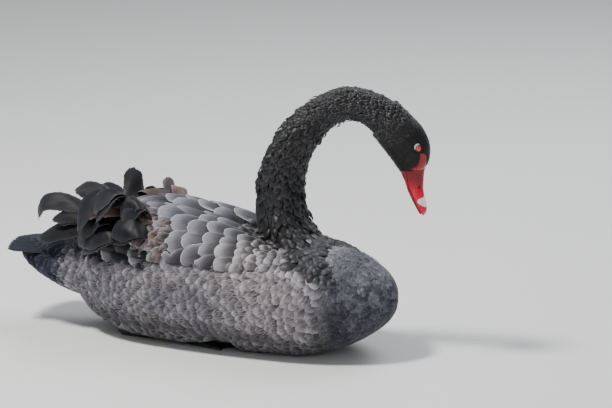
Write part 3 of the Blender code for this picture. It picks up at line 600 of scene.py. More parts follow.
def plumage(name, roughness, sheen, depth, streaks, gloss, painted_root_shade, painted_tip_light):
    """Feather vanes: barbs that slant off the shaft, a paler rim, and painted shade at the root
    that turns to a painted highlight towards the tip.
    The maps give where a point lies on its own vane."""
    finish = Finish(name)
    across, along = finish.place_on("vane")
    across = across * 2.0 - 1.0
    edge = across.calc("ABSOLUTE")
    own = finish.attribute("own") * 37.0
    slant = (along - edge * BARB_SLANT) * finish.attribute("span")
    barbs = finish.noise(finish.vector(slant * BARBS_PER_METRE, across, own), 1.0, 2.0, 0.6)
    cloud = finish.noise(finish.vector(along * 2.2, across, own), 1.0)
    streak = barbs.ramp(0.30, 0.70, 1 - streaks, 1 + streaks)
    patchy = cloud.ramp(0.30, 0.70, 0.82, 1.18)
    # Painted light: each vane darker at its root, where the feather over it shades it, and lighter
    # towards its domed tip, where the light falls.
    painted_shade_to_highlight = along.ramp(0.32, 1.0, painted_root_shade, painted_tip_light)
    shaft = edge.ramp(0.0, 0.06, 0.75, 1.0)
    vane = finish.shaded(finish.attribute("tint", "Color"), streak * patchy * (painted_shade_to_highlight * shaft))
    outer = edge.calc("MAXIMUM", along - 0.03) + (barbs - 0.5) * 0.06
    margin = outer.ramp(0.91, 0.99, 0.0, 0.70) + outer.ramp(0.60, 1.0, 0.0, 0.30)
    rim = margin * finish.attribute("rim")
    return finish.surface(
        Base_Color=rim.blend(vane, PALE_EDGE),
        Roughness=cloud.ramp(0.25, 0.75, roughness + 0.07, roughness - 0.07),
        Specular_IOR_Level=gloss, Sheen_Weight=sheen, Sheen_Roughness=0.4,
        Sheen_Tint=(0.86, 0.90, 1.0), Normal=finish.relief(barbs, depth),
    )


def skin_material():
    """The down under the vanes, in the same markings."""
    finish = Finish("down")
    fluff = finish.noise(finish.position(), 900.0, 4.0, 0.65)
    tone = fluff.ramp(0.25, 0.75, 0.45, 0.95)
    return finish.surface(
        Base_Color=finish.shaded(finish.attribute("tint", "Color"), tone),
        Roughness=fluff.ramp(0.2, 0.8, 0.9, 0.7), Sheen_Weight=0.2,
        Normal=finish.relief(fluff, 0.0012),
    )


def horn_material():
    """The upper bill: crimson at its base, brighter below, with a white bar and a pale tip.
    The map gives forward and height in the head's frame, in shares of PLACE_SPAN."""
    finish = Finish("bill_horn")
    forward, height = (axis * span for axis, span in zip(finish.place_on("place"), PLACE_SPAN))
    where = finish.position()
    grain = finish.noise(where, 420.0, 4.0, 0.6)
    cloud = finish.noise(where, 110.0, 3.0)
    red = height.ramp(0.262, 0.236).blend((0.210, 0.0004, 0.0070), (0.760, 0.0050, 0.0340))
    red = cloud.ramp(0.40, 0.75, 0.0, 0.35).blend(red, (0.150, 0.0003, 0.0045))
    red = height.ramp(0.211, 0.2055, 0.0, 0.8).blend(red, (0.34, 0.17, 0.19))

    def over_line(line_height, slant, softness):
        ahead = forward - float(mouth_line(line_height))
        over = height - line_height - ahead * math.tan(math.radians(slant))
        return (over + (grain - 0.5) * 0.0012).ramp(-softness, softness)

    white = over_line(*BAND_TOP, -BAND_SOFTNESS) * over_line(*BAND_FOOT, BAND_SOFTNESS)
    off = (height - BAND_MIDDLE) / BAND_HALF_HEIGHT
    start = forward - (float(mouth_line(BAND_TOP[0])) + BAND_START) - off * off * BAND_ROUNDING
    white = white * start.ramp(-0.0006, 0.0008)
    pale = cloud.ramp(0.35, 0.8).blend((0.96, 0.92, 0.90), (0.90, 0.74, 0.72))
    # The nostril's hollow is painted near black: painted shade for the opening.
    hollow = finish.attribute("hollow")
    return finish.surface(
        Base_Color=hollow.blend(white.blend(red, pale), (0.030, 0.006, 0.006)),
        Roughness=grain.ramp(0.3, 0.8, 0.24, 0.42), Specular_IOR_Level=0.35,
        Coat_Weight=0.12, Coat_Roughness=0.2,
        Subsurface_Weight=0.08, Subsurface_Radius=(0.004, 0.001, 0.001),
        Normal=finish.relief(grain + cloud * 2.0, 0.00022),
    )


def flesh_material(name, deep, light, scale, roughness):
    """Bare skin with fine folds and a mottled colour."""
    finish = Finish(name)
    where = finish.position()
    folds = finish.noise(where, scale, 4.0, 0.6)
    lumps = folds + finish.cells(where, scale * 1.6).ramp(0.0, 0.20, 0.0, 0.25)
    return finish.surface(
        Base_Color=folds.ramp(0.3, 0.7).blend(deep, light),
        Roughness=folds.ramp(0.3, 0.7, roughness + 0.1, roughness - 0.1),
        Normal=finish.relief(lumps, 0.00006),
    )


def eye_material():
    """A wet red eye: a dark pupil, an orange-red iris with fine rays, and a dark border.
    The map gives the turn round the pupil and the way out, in shares of the ball's width."""
    finish = Finish("eye")
    turn, out = finish.place_on("place")
    out = out * (EYE_RADIUS * 2)
    rays = finish.noise(finish.vector(turn * 60.0, out * 500.0, 0.0), 1.0, 3.0, 0.6)
    iris = rays.ramp(0.3, 0.7).blend((0.42, 0.005, 0.003), (0.85, 0.035, 0.018))
    iris = out.ramp(PUPIL_RADIUS, PUPIL_RADIUS * 1.5).blend((0.95, 0.36, 0.22), iris)
    iris = out.ramp(IRIS_RADIUS * 0.80, IRIS_RADIUS).blend(iris, (0.10, 0.010, 0.008))
    beyond_pupil = out.ramp(PUPIL_RADIUS * 0.92, PUPIL_RADIUS * 1.08)
    return finish.surface(
        Base_Color=beyond_pupil.blend((0.002, 0.002, 0.002), iris),
        Roughness=rays.ramp(0.2, 0.8, 0.10, 0.05), Coat_Weight=1.0, Coat_Roughness=0.02,
    )


def lid_material():
    """The lids: dark bare skin, pale grey above and behind the eye."""
    finish = Finish("lid_skin")
    folds = finish.noise(finish.position(), 900.0, 3.0)
    pale = (finish.attribute("pale") + folds * 0.2).ramp(0.25, 0.95)
    return finish.surface(
        Base_Color=pale.blend((0.010, 0.008, 0.008), (0.42, 0.43, 0.41)),
        Roughness=folds.ramp(0.3, 0.7, 0.65, 0.5), Normal=finish.relief(folds, 0.0002),
    )


def leg_material():
    """Dark grey scaled skin of the legs and feet."""
    finish = Finish("leg_skin")
    where = finish.position()
    plate = finish.cells(where, 420.0).ramp(0.02, 0.14)
    dust = finish.noise(where, 160.0, 4.0)
    colour = dust.ramp(0.35, 0.7).blend((0.016, 0.015, 0.016), (0.040, 0.037, 0.038))
    return finish.surface(
        Base_Color=plate.blend((0.008, 0.008, 0.008), colour),
        Roughness=dust.ramp(0.3, 0.7, 0.55, 0.38), Normal=finish.relief(plate, 0.0006),
    )


VANE = {name: plumage(name + "_plumage", *row) for name, row in PLUMAGE.items()}


# The spine of neck and head, for the lie of the plumage.
# Points are looked up on it in batches, which keeps the tables of distances small.

SPINE_STEPS = 240
SPINE_BATCH = 8000
NECK_STEPS = np.linspace(0, 1, SPINE_STEPS)
HEAD_STEPS = np.linspace(0.06, 1, SPINE_STEPS // 3)
SPINE = np.concatenate([
    neck_centre(NECK_STEPS),
    head_place(HEAD_CURVES[0](HEAD_STEPS), HEAD_CURVES[1](HEAD_STEPS)),
])
SPINE_ALONG = unit(np.gradient(SPINE, axis=0))
SPINE_TURNED = np.ascontiguousarray(SPINE.T, np.float32)
SPINE_SQUARES = (SPINE_TURNED ** 2).sum(0)
SPINE_PLACE = np.concatenate([NECK_STEPS, 1 + HEAD_STEPS])
SPINE_RADIUS = np.concatenate([
    (NECK_CURVES[3](NECK_STEPS) + NECK_CURVES[4](NECK_STEPS)) / 2,
    (HEAD_CURVES[2](HEAD_STEPS) + HEAD_CURVES[3](HEAD_STEPS)) / 2,
])


def near_spine(points):
    """For each point: the nearest step of the spine, its place on it from 0 at the neck's foot
    through 1 at the nape to 2 at the bill, and the distance in radii."""
    points = np.asarray(points, np.float32)
    found = np.empty(len(points), int)
    for start in range(0, len(points), SPINE_BATCH):
        part = slice(start, start + SPINE_BATCH)
        found[part] = (SPINE_SQUARES - 2 * (points[part] @ SPINE_TURNED)).argmin(1)
    gap = np.linalg.norm(points - SPINE[found], axis=1)
    return found, SPINE_PLACE[found], gap / SPINE_RADIUS[found]


def neck_share(points):
    """How far points belong to the neck or the head, from 0 to 1, and their spine places."""
    step, place, away = near_spine(points)
    own = (1 - ramp(away, 1.08, 1.42)) * ramp(place, 0.06, 0.17)
    return step, place, own


WEDGE_EDGE = smooth_line((
    (0.080, 0.196), (0.117, 0.174), (0.142, 0.164), (0.166, 0.150), (0.185, 0.142),
    (0.202, 0.134), (0.229, 0.124), (0.2565, 0.118), (0.275, 0.126), (0.290, 0.140),
))
WEDGE_FRONT = smooth_line(((0.100, 0.262), (0.115, 0.248), (0.143, 0.219), (0.166, 0.190)))


def wedge_share(points):
    """How far points belong to the dark scales that run down from the neck's foot."""
    x, z = points[:, 0], points[:, 2]
    share = ramp(z, WEDGE_EDGE(x) - 0.004, WEDGE_EDGE(x) + 0.002)
    share *= 1 - ramp(x, WEDGE_FRONT(z) - 0.004, WEDGE_FRONT(z) + 0.010)
    return share * ramp(x, 0.085, 0.110)


def lie(points):
    """The way feathers point at each place: down the neck, then back along the body."""
    step, _, own = neck_share(points)
    x, y = points[:, 0], points[:, 1]
    front = ramp(x, 0.10, 0.28)
    rear = ramp(x, -0.12, -0.20)
    body = np.stack([
        -1 + 0.62 * front, 0.42 * front * np.clip(y / 0.05, -1, 1),
        -0.20 - 0.85 * front + 0.20 * rear,
    ], -1)
    wedge = np.stack(np.broadcast_arrays(-0.30, 0.45 * np.clip(y / 0.05, -1, 1), -1.0), -1)
    body = mix(unit(body), unit(wedge), wedge_share(points))
    return unit(mix(body, -SPINE_ALONG[step], own))


wing_foot = smooth_line([
    (x, float(hull_surface(x, float(wing_span(x)[0]))[2]))
    for x in np.linspace(WING_REAR_X, WING_FRONT_X, 14)
])


def zones(points):
    """Shares of each point in the neck, the dark scales at its foot, the breast, the wing,
    the side, the belly and the tail."""
    _, place, own = neck_share(points)
    x, z = points[:, 0], points[:, 2]
    wedge = wedge_share(points) * (1 - own)
    breast = ramp(x, 0.205, 0.250) * (1 - own)
    wing = ramp(z, wing_foot(x) - 0.003, wing_foot(x) + 0.003) * (1 - own)
    wing *= ramp(x, -0.185, -0.165) * (1 - ramp(x, 0.135, 0.155))
    belly = 1 - ramp(z, 0.030, 0.062)
    tail = 1 - ramp(x, -0.200, -0.170)
    return {"place": place, "neck": own, "wedge": wedge, "breast": breast, "wing": wing,
            "belly": belly, "tail": tail}


def markings(points):
    """The plumage's colour at each place, for skin and vanes alike, with painted sky light on the
    top of the wing and painted shade under the curled feathers.
    """
    zone = zones(points)
    x, z = points[:, 0], points[:, 2]
    cloud = speckle(points, 0.030, 1)
    fleck = speckle(points, 0.006, 2)
    side = mix(SIDE_GREY, SIDE_GREY * (0.62, 0.66, 0.76), cloud)
    side = mix(side, SIDE_GREY * 1.35, ramp(fleck, 0.55, 0.9) * 0.5)
    side = mix(side, SIDE_GREY * 1.35, ramp(x, 0.04, 0.14) * 0.7)
    # Painted shade: the side turns near black under the curled feathers, where their shade falls.
    under = ramp(z, wing_foot(x) - 0.024, wing_foot(x) - 0.013) * ramp(x, -0.160, -0.140)
    side = mix(side, REAR_BLACK * 2, under * (1 - ramp(x, -0.036, -0.016)))
    side = mix(side, BELLY_GREY, zone["belly"])
    rearward = 1 - ramp(x, -0.100, 0.020)
    # The top of the wing turns paler and bluer: painted sky light.
    wing = mix(WING_GREY, WING_TOP_PAINTED_SKYLIGHT, ramp(z, 0.150, 0.180) * (1 - rearward))
    wing = mix(wing, WING_GREY * (0.50, 0.50, 0.54), rearward * 0.8)
    wing = mix(wing, SIDE_GREY, ramp(x, 0.080, 0.125) * (1 - ramp(z, 0.150, 0.168)))
    breast = mix(BREAST_GREY * 0.62, BREAST_GREY * 1.7, ramp(fleck, 0.35, 0.8))
    breast = mix(breast, BREAST_GREY * 1.5, ramp(z, 0.100, 0.140) * 0.6)
    breast = mix(breast, BREAST_GREY * 0.40, (1 - ramp(z, 0.070, 0.105)) * 0.7)
    colour = mix(side, wing, zone["wing"])
    colour = mix(colour, breast, zone["breast"])
    colour = mix(colour, SCALE_BLACK, zone["wedge"])
    tail = mix(TAIL_SLATE * 1.3, TAIL_SLATE * 2.6, ramp(cloud, 0.35, 0.8))
    colour = mix(colour, tail, zone["tail"] * (1 - zone["wing"]))
    low_neck = mix(SCALE_BLACK, NECK_BLACK, ramp(zone["place"], 0.10, 0.30))
    neck = mix(low_neck, HEAD_BLACK, ramp(zone["place"], 0.95, 1.15))
    return mix(colour, neck, zone["neck"])


# The skin

RING = np.arange(48) * 2 * np.pi / 48


def hull_form():
    xs = RUMP_X + (BREAST_X - RUMP_X) * (1 - np.cos(np.pi * np.linspace(0.02, 0.985, 90))) / 2
    inset = np.minimum(HULL_COAT, half_width(xs) * 0.4)[:, None]
    return hull_point(xs[:, None], (np.arange(72) * 5.0)[None], -inset)


def neck_form():
    shares = np.linspace(0, 1, 110)
    centre = neck_centre(shares)
    across, up = square_to(unit(np.gradient(centre, axis=0)))
    inset = NECK_COAT - (NECK_COAT - NAPE_COAT) * shares
    depth, width = NECK_CURVES[3](shares) - inset, NECK_CURVES[4](shares) - inset
    return (centre[:, None] + across[:, None] * (width[:, None] * np.cos(RING))[..., None]
            + up[:, None] * (depth[:, None] * np.sin(RING))[..., None])


def head_form():
    forward, height, depth, width, tilt = (curve(np.linspace(0, 1, 60)) for curve in HEAD_CURVES)
    tilt = np.radians(tilt)[:, None]
    crown = HEAD_AHEAD * np.cos(tilt) + UP * np.sin(tilt)
    depth, width = depth - HEAD_COAT, width - HEAD_COAT
    return (head_place(forward, height)[:, None]
            + crown[:, None] * (depth[:, None] * np.sin(RING))[..., None]
            + HEAD_LEFT * (width[:, None] * np.cos(RING))[..., None])


def tail_form():
    low, high, wide = (
        smooth_line([(section[0], section[k]) for section in TAIL_SECTIONS]) for k in (1, 2, 3)
    )
    xs = np.linspace(TAIL_SECTIONS[0][0], TAIL_SECTIONS[-1][0], 40)[:, None]
    middle = 0.45 * low(xs) + 0.55 * high(xs)
    rise = np.sin(RING)[None]
    reach = np.where(rise > 0, high(xs) - middle, middle - low(xs)) - TAIL_COAT
    across = (wide(xs) - TAIL_COAT) * np.cos(RING)[None]
    return np.stack(np.broadcast_arrays(xs, across, middle + reach * rise), -1)


def wing_form():
    """The left wing's shell, closed on a layer inside the hull."""
    xs = np.linspace(WING_REAR_X + 0.004, WING_FRONT_X - 0.004, 60)
    low, high, _, _ = wing_span(xs)
    angles = low[:, None] + (high - low)[:, None] * np.linspace(0, 1, 20)[None]
    outer = hull_point(xs[:, None], angles, shell_out(xs[:, None], angles) - WING_COAT)
    inner = hull_point(xs[:, None], angles[:, ::-1], np.full(angles.shape, -WING_FOUNDATION))
    return np.concatenate([outer, inner], 1)


def skin_forms():
    """The hull, neck, head, tail and wings, each drawn in by its coat, as rings of points."""
    wing = wing_form()
    return [hull_form(), neck_form(), head_form(), tail_form(), wing, on_side(wing, -1)]


def leg_room(points):
    """How far the skin draws up over the tucked legs and feet."""
    x, y = points[:, 0], np.abs(points[:, 1])
    along = np.clip((x - HEEL[0]) / (FOOT_HEAD[0] - HEEL[0]), 0, 1)
    middle = HEEL[1] + (FOOT_HEAD[1] - HEEL[1]) * along
    over_x = np.maximum(np.maximum(HEEL[0] - 0.010 - x, x - FOOT_HEAD[0]), 0)
    shank = 1 - ramp(np.hypot(over_x, y - middle), 0.010, 0.020)
    toe = x - FOOT_HEAD[0]
    spread = 0.008 + np.clip(toe, 0, TOE_REACH) * 0.34
    foot = 1 - ramp(np.abs(y - FOOT_HEAD[1] + 0.03 * toe), spread, spread + 0.010)
    foot *= ramp(toe, -0.010, 0.0) * (1 - ramp(toe, TOE_REACH, TOE_REACH + 0.010))
    return np.maximum(shank * 0.016, foot * 0.010)


def make_skin():
    """One skin: the forms fused, smoothed, and drawn in at the eyes and over the legs."""
    points, quads, first = [], [], 0
    for form in skin_forms():
        p, q = closed_tube(form)
        points.append(p)
        quads.append(q + first)
        first += len(p)
    made = new_mesh("skin", np.concatenate(points), np.concatenate(quads), None)
    remesh = made.modifiers.new("Fuse", "REMESH")
    remesh.mode = "VOXEL"
    remesh.voxel_size = SKIN_VOXEL
    remesh.use_smooth_shade = True
    smooth = made.modifiers.new("Soften", "SMOOTH")
    smooth.factor = 0.5
    smooth.iterations = 9
    graph = bpy.context.evaluated_depsgraph_get()
    mesh = bpy.data.meshes.new_from_object(made.evaluated_get(graph))
    made.modifiers.clear()
    made.data = mesh
    co, normal = vectors_of(mesh, "co"), vectors_of(mesh, "normal")
    for side in (1, -1):
        away = np.linalg.norm(co - eye_place(side), axis=1)
        near = 1 - ramp(away, SOCKET_REACH * 0.55, SOCKET_REACH)
        co -= normal * (near * SOCKET_DEPTH)[:, None]
    under = 1 - ramp(co[:, 2], 0.020, 0.034)
    co[:, 2] = np.maximum(co[:, 2], SKIN_FLOOR) + under * leg_room(co)
    mesh.vertices.foreach_set("co", co.astype(np.float32).ravel())
    mesh.update()
    mesh.shade_smooth()
    mesh.materials.append(skin_material())
    set_values(made, "tint", markings(co))
    return made


skin = make_skin()
finished(skin, "breast_grey", "torso", "neck_lower", "neck_middle", "neck_upper", "head",
         "tail", "wing_left", "wing_right")


# How many roots are tried for each one that finds room.
CROWD = 5.0


class Ground:
    """The skin as the ground that feathers grow on."""

    def __init__(self, mesh):
        mesh.calc_loop_triangles()
        self.tri = np.zeros((len(mesh.loop_triangles), 3), np.int32)
        mesh.loop_triangles.foreach_get("vertices", self.tri.ravel())
        self.co = vectors_of(mesh, "co")
        self.normal = unit(vectors_of(mesh, "normal")[self.tri].mean(1))
        self.tree = BVHTree.FromPolygons(self.co.tolist(), self.tri.tolist())
        a, b, c = (self.co[self.tri[:, k]] for k in range(3))
        self.area = np.linalg.norm(np.cross(b - a, c - a), axis=1) / 2

    def nearest(self, points):
        """The nearest points of the skin and its normals there."""
        flat = points.reshape(-1, 3)
        spots = np.empty_like(flat)
        which = np.empty(len(flat), int)
        find = self.tree.find_nearest
        for i, p in enumerate(flat.tolist()):
            place, _, index, _ = find(p)
            spots[i] = place
            which[i] = index
        return spots.reshape(points.shape), self.normal[which].reshape(points.shape)

    def scatter(self, wanted, spacing):
        """Roots spread evenly at random where wanted(points) is above a half."""
        middle = self.co[self.tri].mean(1)
        share = np.clip(wanted(middle), 0, 1)
        weight = np.where(share > 0.02, self.area / spacing(middle) ** 2, 0)
        count = int(weight.sum() * CROWD)
        pick = RNG.choice(len(weight), count, p=weight / weight.sum())
        a, b = np.sqrt(RNG.random(count)), RNG.random(count)
        corner = self.co[self.tri[pick]]
        points = (corner[:, 0] * (1 - a)[:, None] + corner[:, 1] * (a * (1 - b))[:, None]
                  + corner[:, 2] * (a * b)[:, None])
        inside = wanted(points) > 0.5
        points, pick = points[inside], pick[inside]
        gaps = spacing(points)
        tree = KDTree(len(points))
        for i, p in enumerate(points):
            tree.insert(p, i)
        tree.balance()
        dropped = np.zeros(len(points), bool)
        kept = []
        for i, p in enumerate(points):
            if dropped[i]:
                continue
            kept.append(i)
            for _, other, _ in tree.find_range(p, gaps[i]):
                dropped[other] = True
        return points[kept], self.normal[pick[kept]]


ground = Ground(skin.data)


# Feathers

def unwrapped(points):
    """Each root's place on an unwrap of the skin's own shape: body, neck, head and tail strips."""
    _, place, own = neck_share(points)
    x, y, z = points.T
    body = np.stack([
        0.02 + 0.96 * np.clip((x + 0.30) / 0.62, 0, 1),
        0.02 + 0.52 * (np.arctan2(z - widest_height(x), y) / (2 * np.pi) + 0.5),
    ], -1)
    step, _, _ = near_spine(points)
    across, up = square_to(SPINE_ALONG[step])
    away = points - SPINE[step]
    turn = np.arctan2((away * up).sum(1), (away * across).sum(1)) / (2 * np.pi) + 0.5
    neck = np.stack([0.02 + 0.96 * np.clip(place, 0, 1), 0.58 + 0.19 * turn], -1)
    head = np.stack([0.02 + 0.96 * np.clip(place - 1, 0, 1), 0.80 + 0.18 * turn], -1)
    chosen = np.where((own > 0.5)[:, None], np.where((place > 1)[:, None], head, neck), body)
    return np.clip(chosen, 0.004, 0.996)


def grid_quads(count, stations, columns, first=0):
    """Faces of so many grids in a row."""
    k, i, j = np.meshgrid(np.arange(count), np.arange(stations - 1), np.arange(columns - 1),
                          indexing="ij")
    a = k * stations * columns + i * columns + j
    return np.stack([a, a + 1, a + columns + 1, a + columns], -1).reshape(-1, 4) + first


def rim_quads(count, stations, columns, first):
    """Faces between the borders of upper grids and of the lower grids that follow them."""
    loop = ([(0, j) for j in range(columns)] + [(i, columns - 1) for i in range(1, stations)]
            + [(stations - 1, j) for j in range(columns - 2, -1, -1)]
            + [(i, 0) for i in range(stations - 2, 0, -1)])
    index = np.array([i * columns + j for i, j in loop])
    a = np.arange(count)[:, None] * stations * columns + index[None]
    b = np.roll(a, -1, axis=1)
    return np.stack([b, a, a + first, b + first], -1).reshape(-1, 4)


def feather_object(name, grid, face_normal, roots, span, tint, rim, finish, slot, thick=0.0):
    """One piece out of many vanes. The grid is feathers x stations x columns."""
    count, stations, columns = grid.shape[:3]
    grid = grid.copy()
    grid[..., 2] = np.maximum(grid[..., 2], FLOOR_CLEAR)
    quads = grid_quads(count, stations, columns)
    points = grid.reshape(-1, 3)
    if thick:
        middle = 1 - 0.6 * np.abs(np.linspace(-1, 1, columns))
        under = grid - face_normal * (thick * middle)[None, None, :, None]
        under[..., 2] = np.maximum(under[..., 2], FLOOR_CLEAR * 0.6)
        total = len(points)
        quads = np.concatenate([
            quads, grid_quads(count, stations, columns, total)[:, ::-1],
            rim_quads(count, stations, columns, total),
        ])
        points = np.concatenate([points, under.reshape(-1, 3)])
    made = new_mesh(name, points, quads, finish)
    layers = 2 if thick else 1
    per = stations * columns

    def each(values):
        return np.tile(np.repeat(values, per, axis=0), (layers,) + (1,) * (np.ndim(values) - 1))

    u, v = np.meshgrid(np.linspace(0, 1, columns), np.linspace(0, 1, stations))
    place = np.tile(np.stack([u, v], -1).reshape(-1, 2), (count * layers, 1))
    set_map(made, "vane", place)
    set_map(made, "OFBake", each(unwrapped(roots)) + (place - 0.5) * BAKE_PATCH)
    set_values(made, "tint", each(np.clip(tint, 0, 1)))
    set_values(made, "rim", each(np.broadcast_to(rim, (count,)).astype(float)))
    set_values(made, "span", each(np.broadcast_to(span, (count,)).astype(float)))
    set_values(made, "own", each(RNG.random(count)))
    made.data.uv_layers.active = made.data.uv_layers["vane"]
    return finished(made, slot)


def grow(roots, normals, length, stations, ways=None, follow=0.5):
    """Runs each feather's middle over the skin: places, ways and normals at its stations."""
    way = lie(roots) if ways is None else ways
    way = unit(way - normals * dot(way, normals))
    places, all_ways, all_normals = [roots], [way], [normals]
    step = (length / (stations - 1))[:, None]
    for _ in range(stations - 1):
        spot, normal = ground.nearest(places[-1] + way * step)
        turned = way * (1 - follow) + lie(spot) * follow if follow else way
        way = unit(turned - normal * dot(turned, normal))
        places.append(spot)
        all_ways.append(way)
        all_normals.append(normal)
    return (np.stack(v, 1) for v in (places, all_ways, all_normals))


def vanes(roots, normals, length, width, stations, columns, rise, camber, tip, ragged,
          ways=None, follow=0.5, hug=True, sunk=0.0003, shingle=0.0, root_width=0.5, tilt=0.0,
          dome=0.0, blunt=1.8):
    """Grids of vanes that lie over the skin. Tip draws the corners of the end back: 0 is a
    square end, 0.5 a pointed one. Ragged is the jitter of the barbs' ends. Dome turns a vane
    that lifts towards its tip into a puff that comes down again."""
    count = len(roots)
    length, width, rise, camber = (
        np.broadcast_to(v, (count,)).astype(float) for v in (length, width, rise, camber)
    )
    middle, way, normal = grow(roots, normals, length, stations, ways, follow)
    across = np.linspace(-1, 1, columns)
    reach = 1 - tip * np.abs(across) ** blunt
    reach = reach[None] * (1 + ragged * RNG.standard_normal((count, columns)))
    share = np.linspace(0, 1, stations)[None, :, None] * np.clip(reach, 0.2, 1.12)[:, None, :]
    at = np.clip(share, 0, 1) * (stations - 1)
    low = np.minimum(at.astype(int), stations - 2)
    part = (at - low)[..., None]
    each = np.arange(count)[:, None, None]

    def between(values):
        return values[each, low] * (1 - part) + values[each, low + 1] * part

    centre, ahead, out = between(middle), unit(between(way)), unit(between(normal))
    centre = centre + ahead * (np.maximum(share - 1, 0) * length[:, None, None])[..., None]
    side = np.cross(out, ahead)
    full = root_width + (1 - root_width) * np.sin(np.pi * np.clip(share * 0.9 + 0.05, 0, 1)) ** 0.7
    offset = across[None, None] * full * width[:, None, None] / 2
    spots = centre + side * offset[..., None]
    if hug:
        spots, out = ground.nearest(spots)
    own = (RNG.random(count) * 0.3 * rise)[:, None, None]
    puff = np.sin(np.pi * 0.86 * np.clip(share, 0, 1.05) ** 1.2)
    profile = (1 - dome) * np.clip(share, 0, 1.1) ** LIFT_CURVE + dome * puff
    sunk = np.broadcast_to(sunk, (count,))[:, None, None]
    lift = sunk + own + rise[:, None, None] * profile
    lift = lift - camber[:, None, None] * across[None, None] ** 2 * np.clip(share * 2, 0, 1)
    lean = shingle + tilt * rise * RNG.standard_normal(count)
    lift = lift - lean[:, None, None] * across[None, None] * np.clip(share * 2, 0, 1)
    return spots + out * np.maximum(lift, 0.0001)[..., None], out


def varied(tint, amount):
    """The same colours, each a little lighter or darker."""
    return tint * np.exp(amount * RNG.standard_normal((len(tint), 1)))


def clear_of_face(points):
    """1 where head feathers may grow: off the eyes, the bare red skin and the bill."""
    forward, left, height = head_coordinates(points)
    clear = np.ones(len(points))
    for side in (1, -1):
        away = np.linalg.norm(points - eye_place(side), axis=1)
        clear *= away > LID_RADIUS + LID_THICKNESS * 0.9
    rear, front = (smooth_line([edge[k][::-1] for edge in LORE_EDGES]) for k in (0, 1))
    low, high = LORE_EDGES[-1][1][1], LORE_EDGES[0][0][1]
    bare = (height < high) & (height > low)
    bare &= (forward > rear(height)) & (forward < front(height)) & (np.abs(left) > 0.004)
    base = BILL_SECTIONS[1][0] - 0.004 + math.tan(math.radians(BILL_SLANT)) * (forward - 0.029)
    return clear * ~bare * (height > base)


# The short plumage of the head, neck, breast, sides and belly

def coat(name, slot, vane, zone, spacing, size, spread, stray, length, width, shade, rim,
         span=None, tint=markings, **form):
    """A piece of plumage. Its vanes' sizes vary by spread, their ways by stray and their
    colours by shade, and length, width and span are in sizes. Rim gives the least share of a
    pale edge, how much chance adds, and the power that makes the broad ones rare."""
    roots, normals = ground.scatter(zone, lambda p: np.full(len(p), spacing))
    size = size * np.exp(spread * RNG.standard_normal(len(roots)))
    ways = strayed(roots, stray) if stray else None
    grid, out = vanes(roots, normals, size * length, size * width, ways=ways, **form)
    colour = varied(tint(roots), shade)
    least, reach, power = rim
    edge = least + reach * RNG.random(len(roots)) ** power if reach else least
    feather_object(name, grid, out, roots, size * (span or length), colour, edge, VANE[vane], slot)


def strayed(roots, stray):
    """The lie of the plumage at each root, with a share of chance."""
    return unit(lie(roots) + stray * RNG.standard_normal((len(roots), 3)))


def head_coat():
    """Short close feathers, a little longer at the nape."""
    def zone(points):
        _, place, own = neck_share(points)
        return own * (place > 1.05) * clear_of_face(points)

    roots, normals = ground.scatter(zone, lambda p: np.full(len(p), 0.00125))
    _, place, _ = near_spine(roots)
    nape = 1 - ramp(place, 1.0, 1.35)
    size = (0.0042 + 0.0018 * nape) * np.exp(0.12 * RNG.standard_normal(len(roots)))
    grid, out = vanes(roots, normals, size, 0.0013 + 0.0006 * nape, stations=4, columns=3,
                      rise=0.0005 + 0.0006 * nape, camber=0.0, tip=0.5, ragged=0.08, hug=False,
                      tilt=0.2, dome=0.5)
    feather_object("coat_head", grid, out, roots, size, varied(markings(roots), 0.18),
                   0.02 + 0.03 * nape, VANE["head"], "neck_black")


def neck_spacing(points):
    """The gap between the neck's feathers, which grow finer from its foot to the nape."""
    _, place, _ = near_spine(points)
    low = 0.0084 - 0.0024 * ramp(place, 0.10, 0.34)
    return low - 0.0029 * ramp(place, 0.34, 0.80) - 0.0013 * ramp(place, 0.95, 1.30)


def neck_coat(name, low, high):
    """Leaf-shaped feathers that stand off the neck, between two places on the spine."""
    def zone(points):
        _, place, own = neck_share(points)
        away = clear_of_face(points) * (1 - ramp(place, 1.10, 1.30) * 0.45)
        return own * (place > low) * (place <= high) * np.where(place > 0.9, away, 1.0)

    roots, normals = ground.scatter(zone, neck_spacing)
    count = len(roots)
    _, place, _ = near_spine(roots)
    size = neck_spacing(roots) * np.exp(0.18 * RNG.standard_normal(count))
    ways = strayed(roots, 0.16)
    flat = 1 - 0.75 * ramp(place, 0.95, 1.25)
    rise = (0.0006 + size * 0.50) * np.exp(0.25 * RNG.standard_normal(count)) * flat
    grid, out = vanes(roots, normals, size * 2.3, size * 1.38, stations=8, columns=7, rise=rise,
                      camber=size * 0.30 * flat, tip=0.34, ragged=0.04, ways=ways, tilt=0.16,
                      dome=0.75, blunt=2.2)
    upper = ramp(place, 0.40, 0.90) * (1 - ramp(place, 1.10, 1.28))
    edge = 0.03 + (0.05 + 0.40 * upper) * RNG.random(count) ** 2
    feather_object(name, grid, out, roots, size * 2.3, varied(markings(roots), 0.45), edge,
                   VANE["neck"], "neck_black")


def breast_zone(points):
    zone = zones(points)
    front = np.maximum(zone["breast"], ramp(points[:, 0], 0.190, 0.200) * (points[:, 2] > 0.13))
    return front * (zone["wedge"] < 0.5) * (zone["neck"] < 0.5)


def side_zone(points):
    zone = zones(points - (0, 0, 0.006))
    taken = zone["wing"] + zone["wedge"] + zone["breast"] + zone["neck"]
    return (taken < 0.5) * (1 - zones(points)["belly"]) * (wedge_share(points) < 0.3)


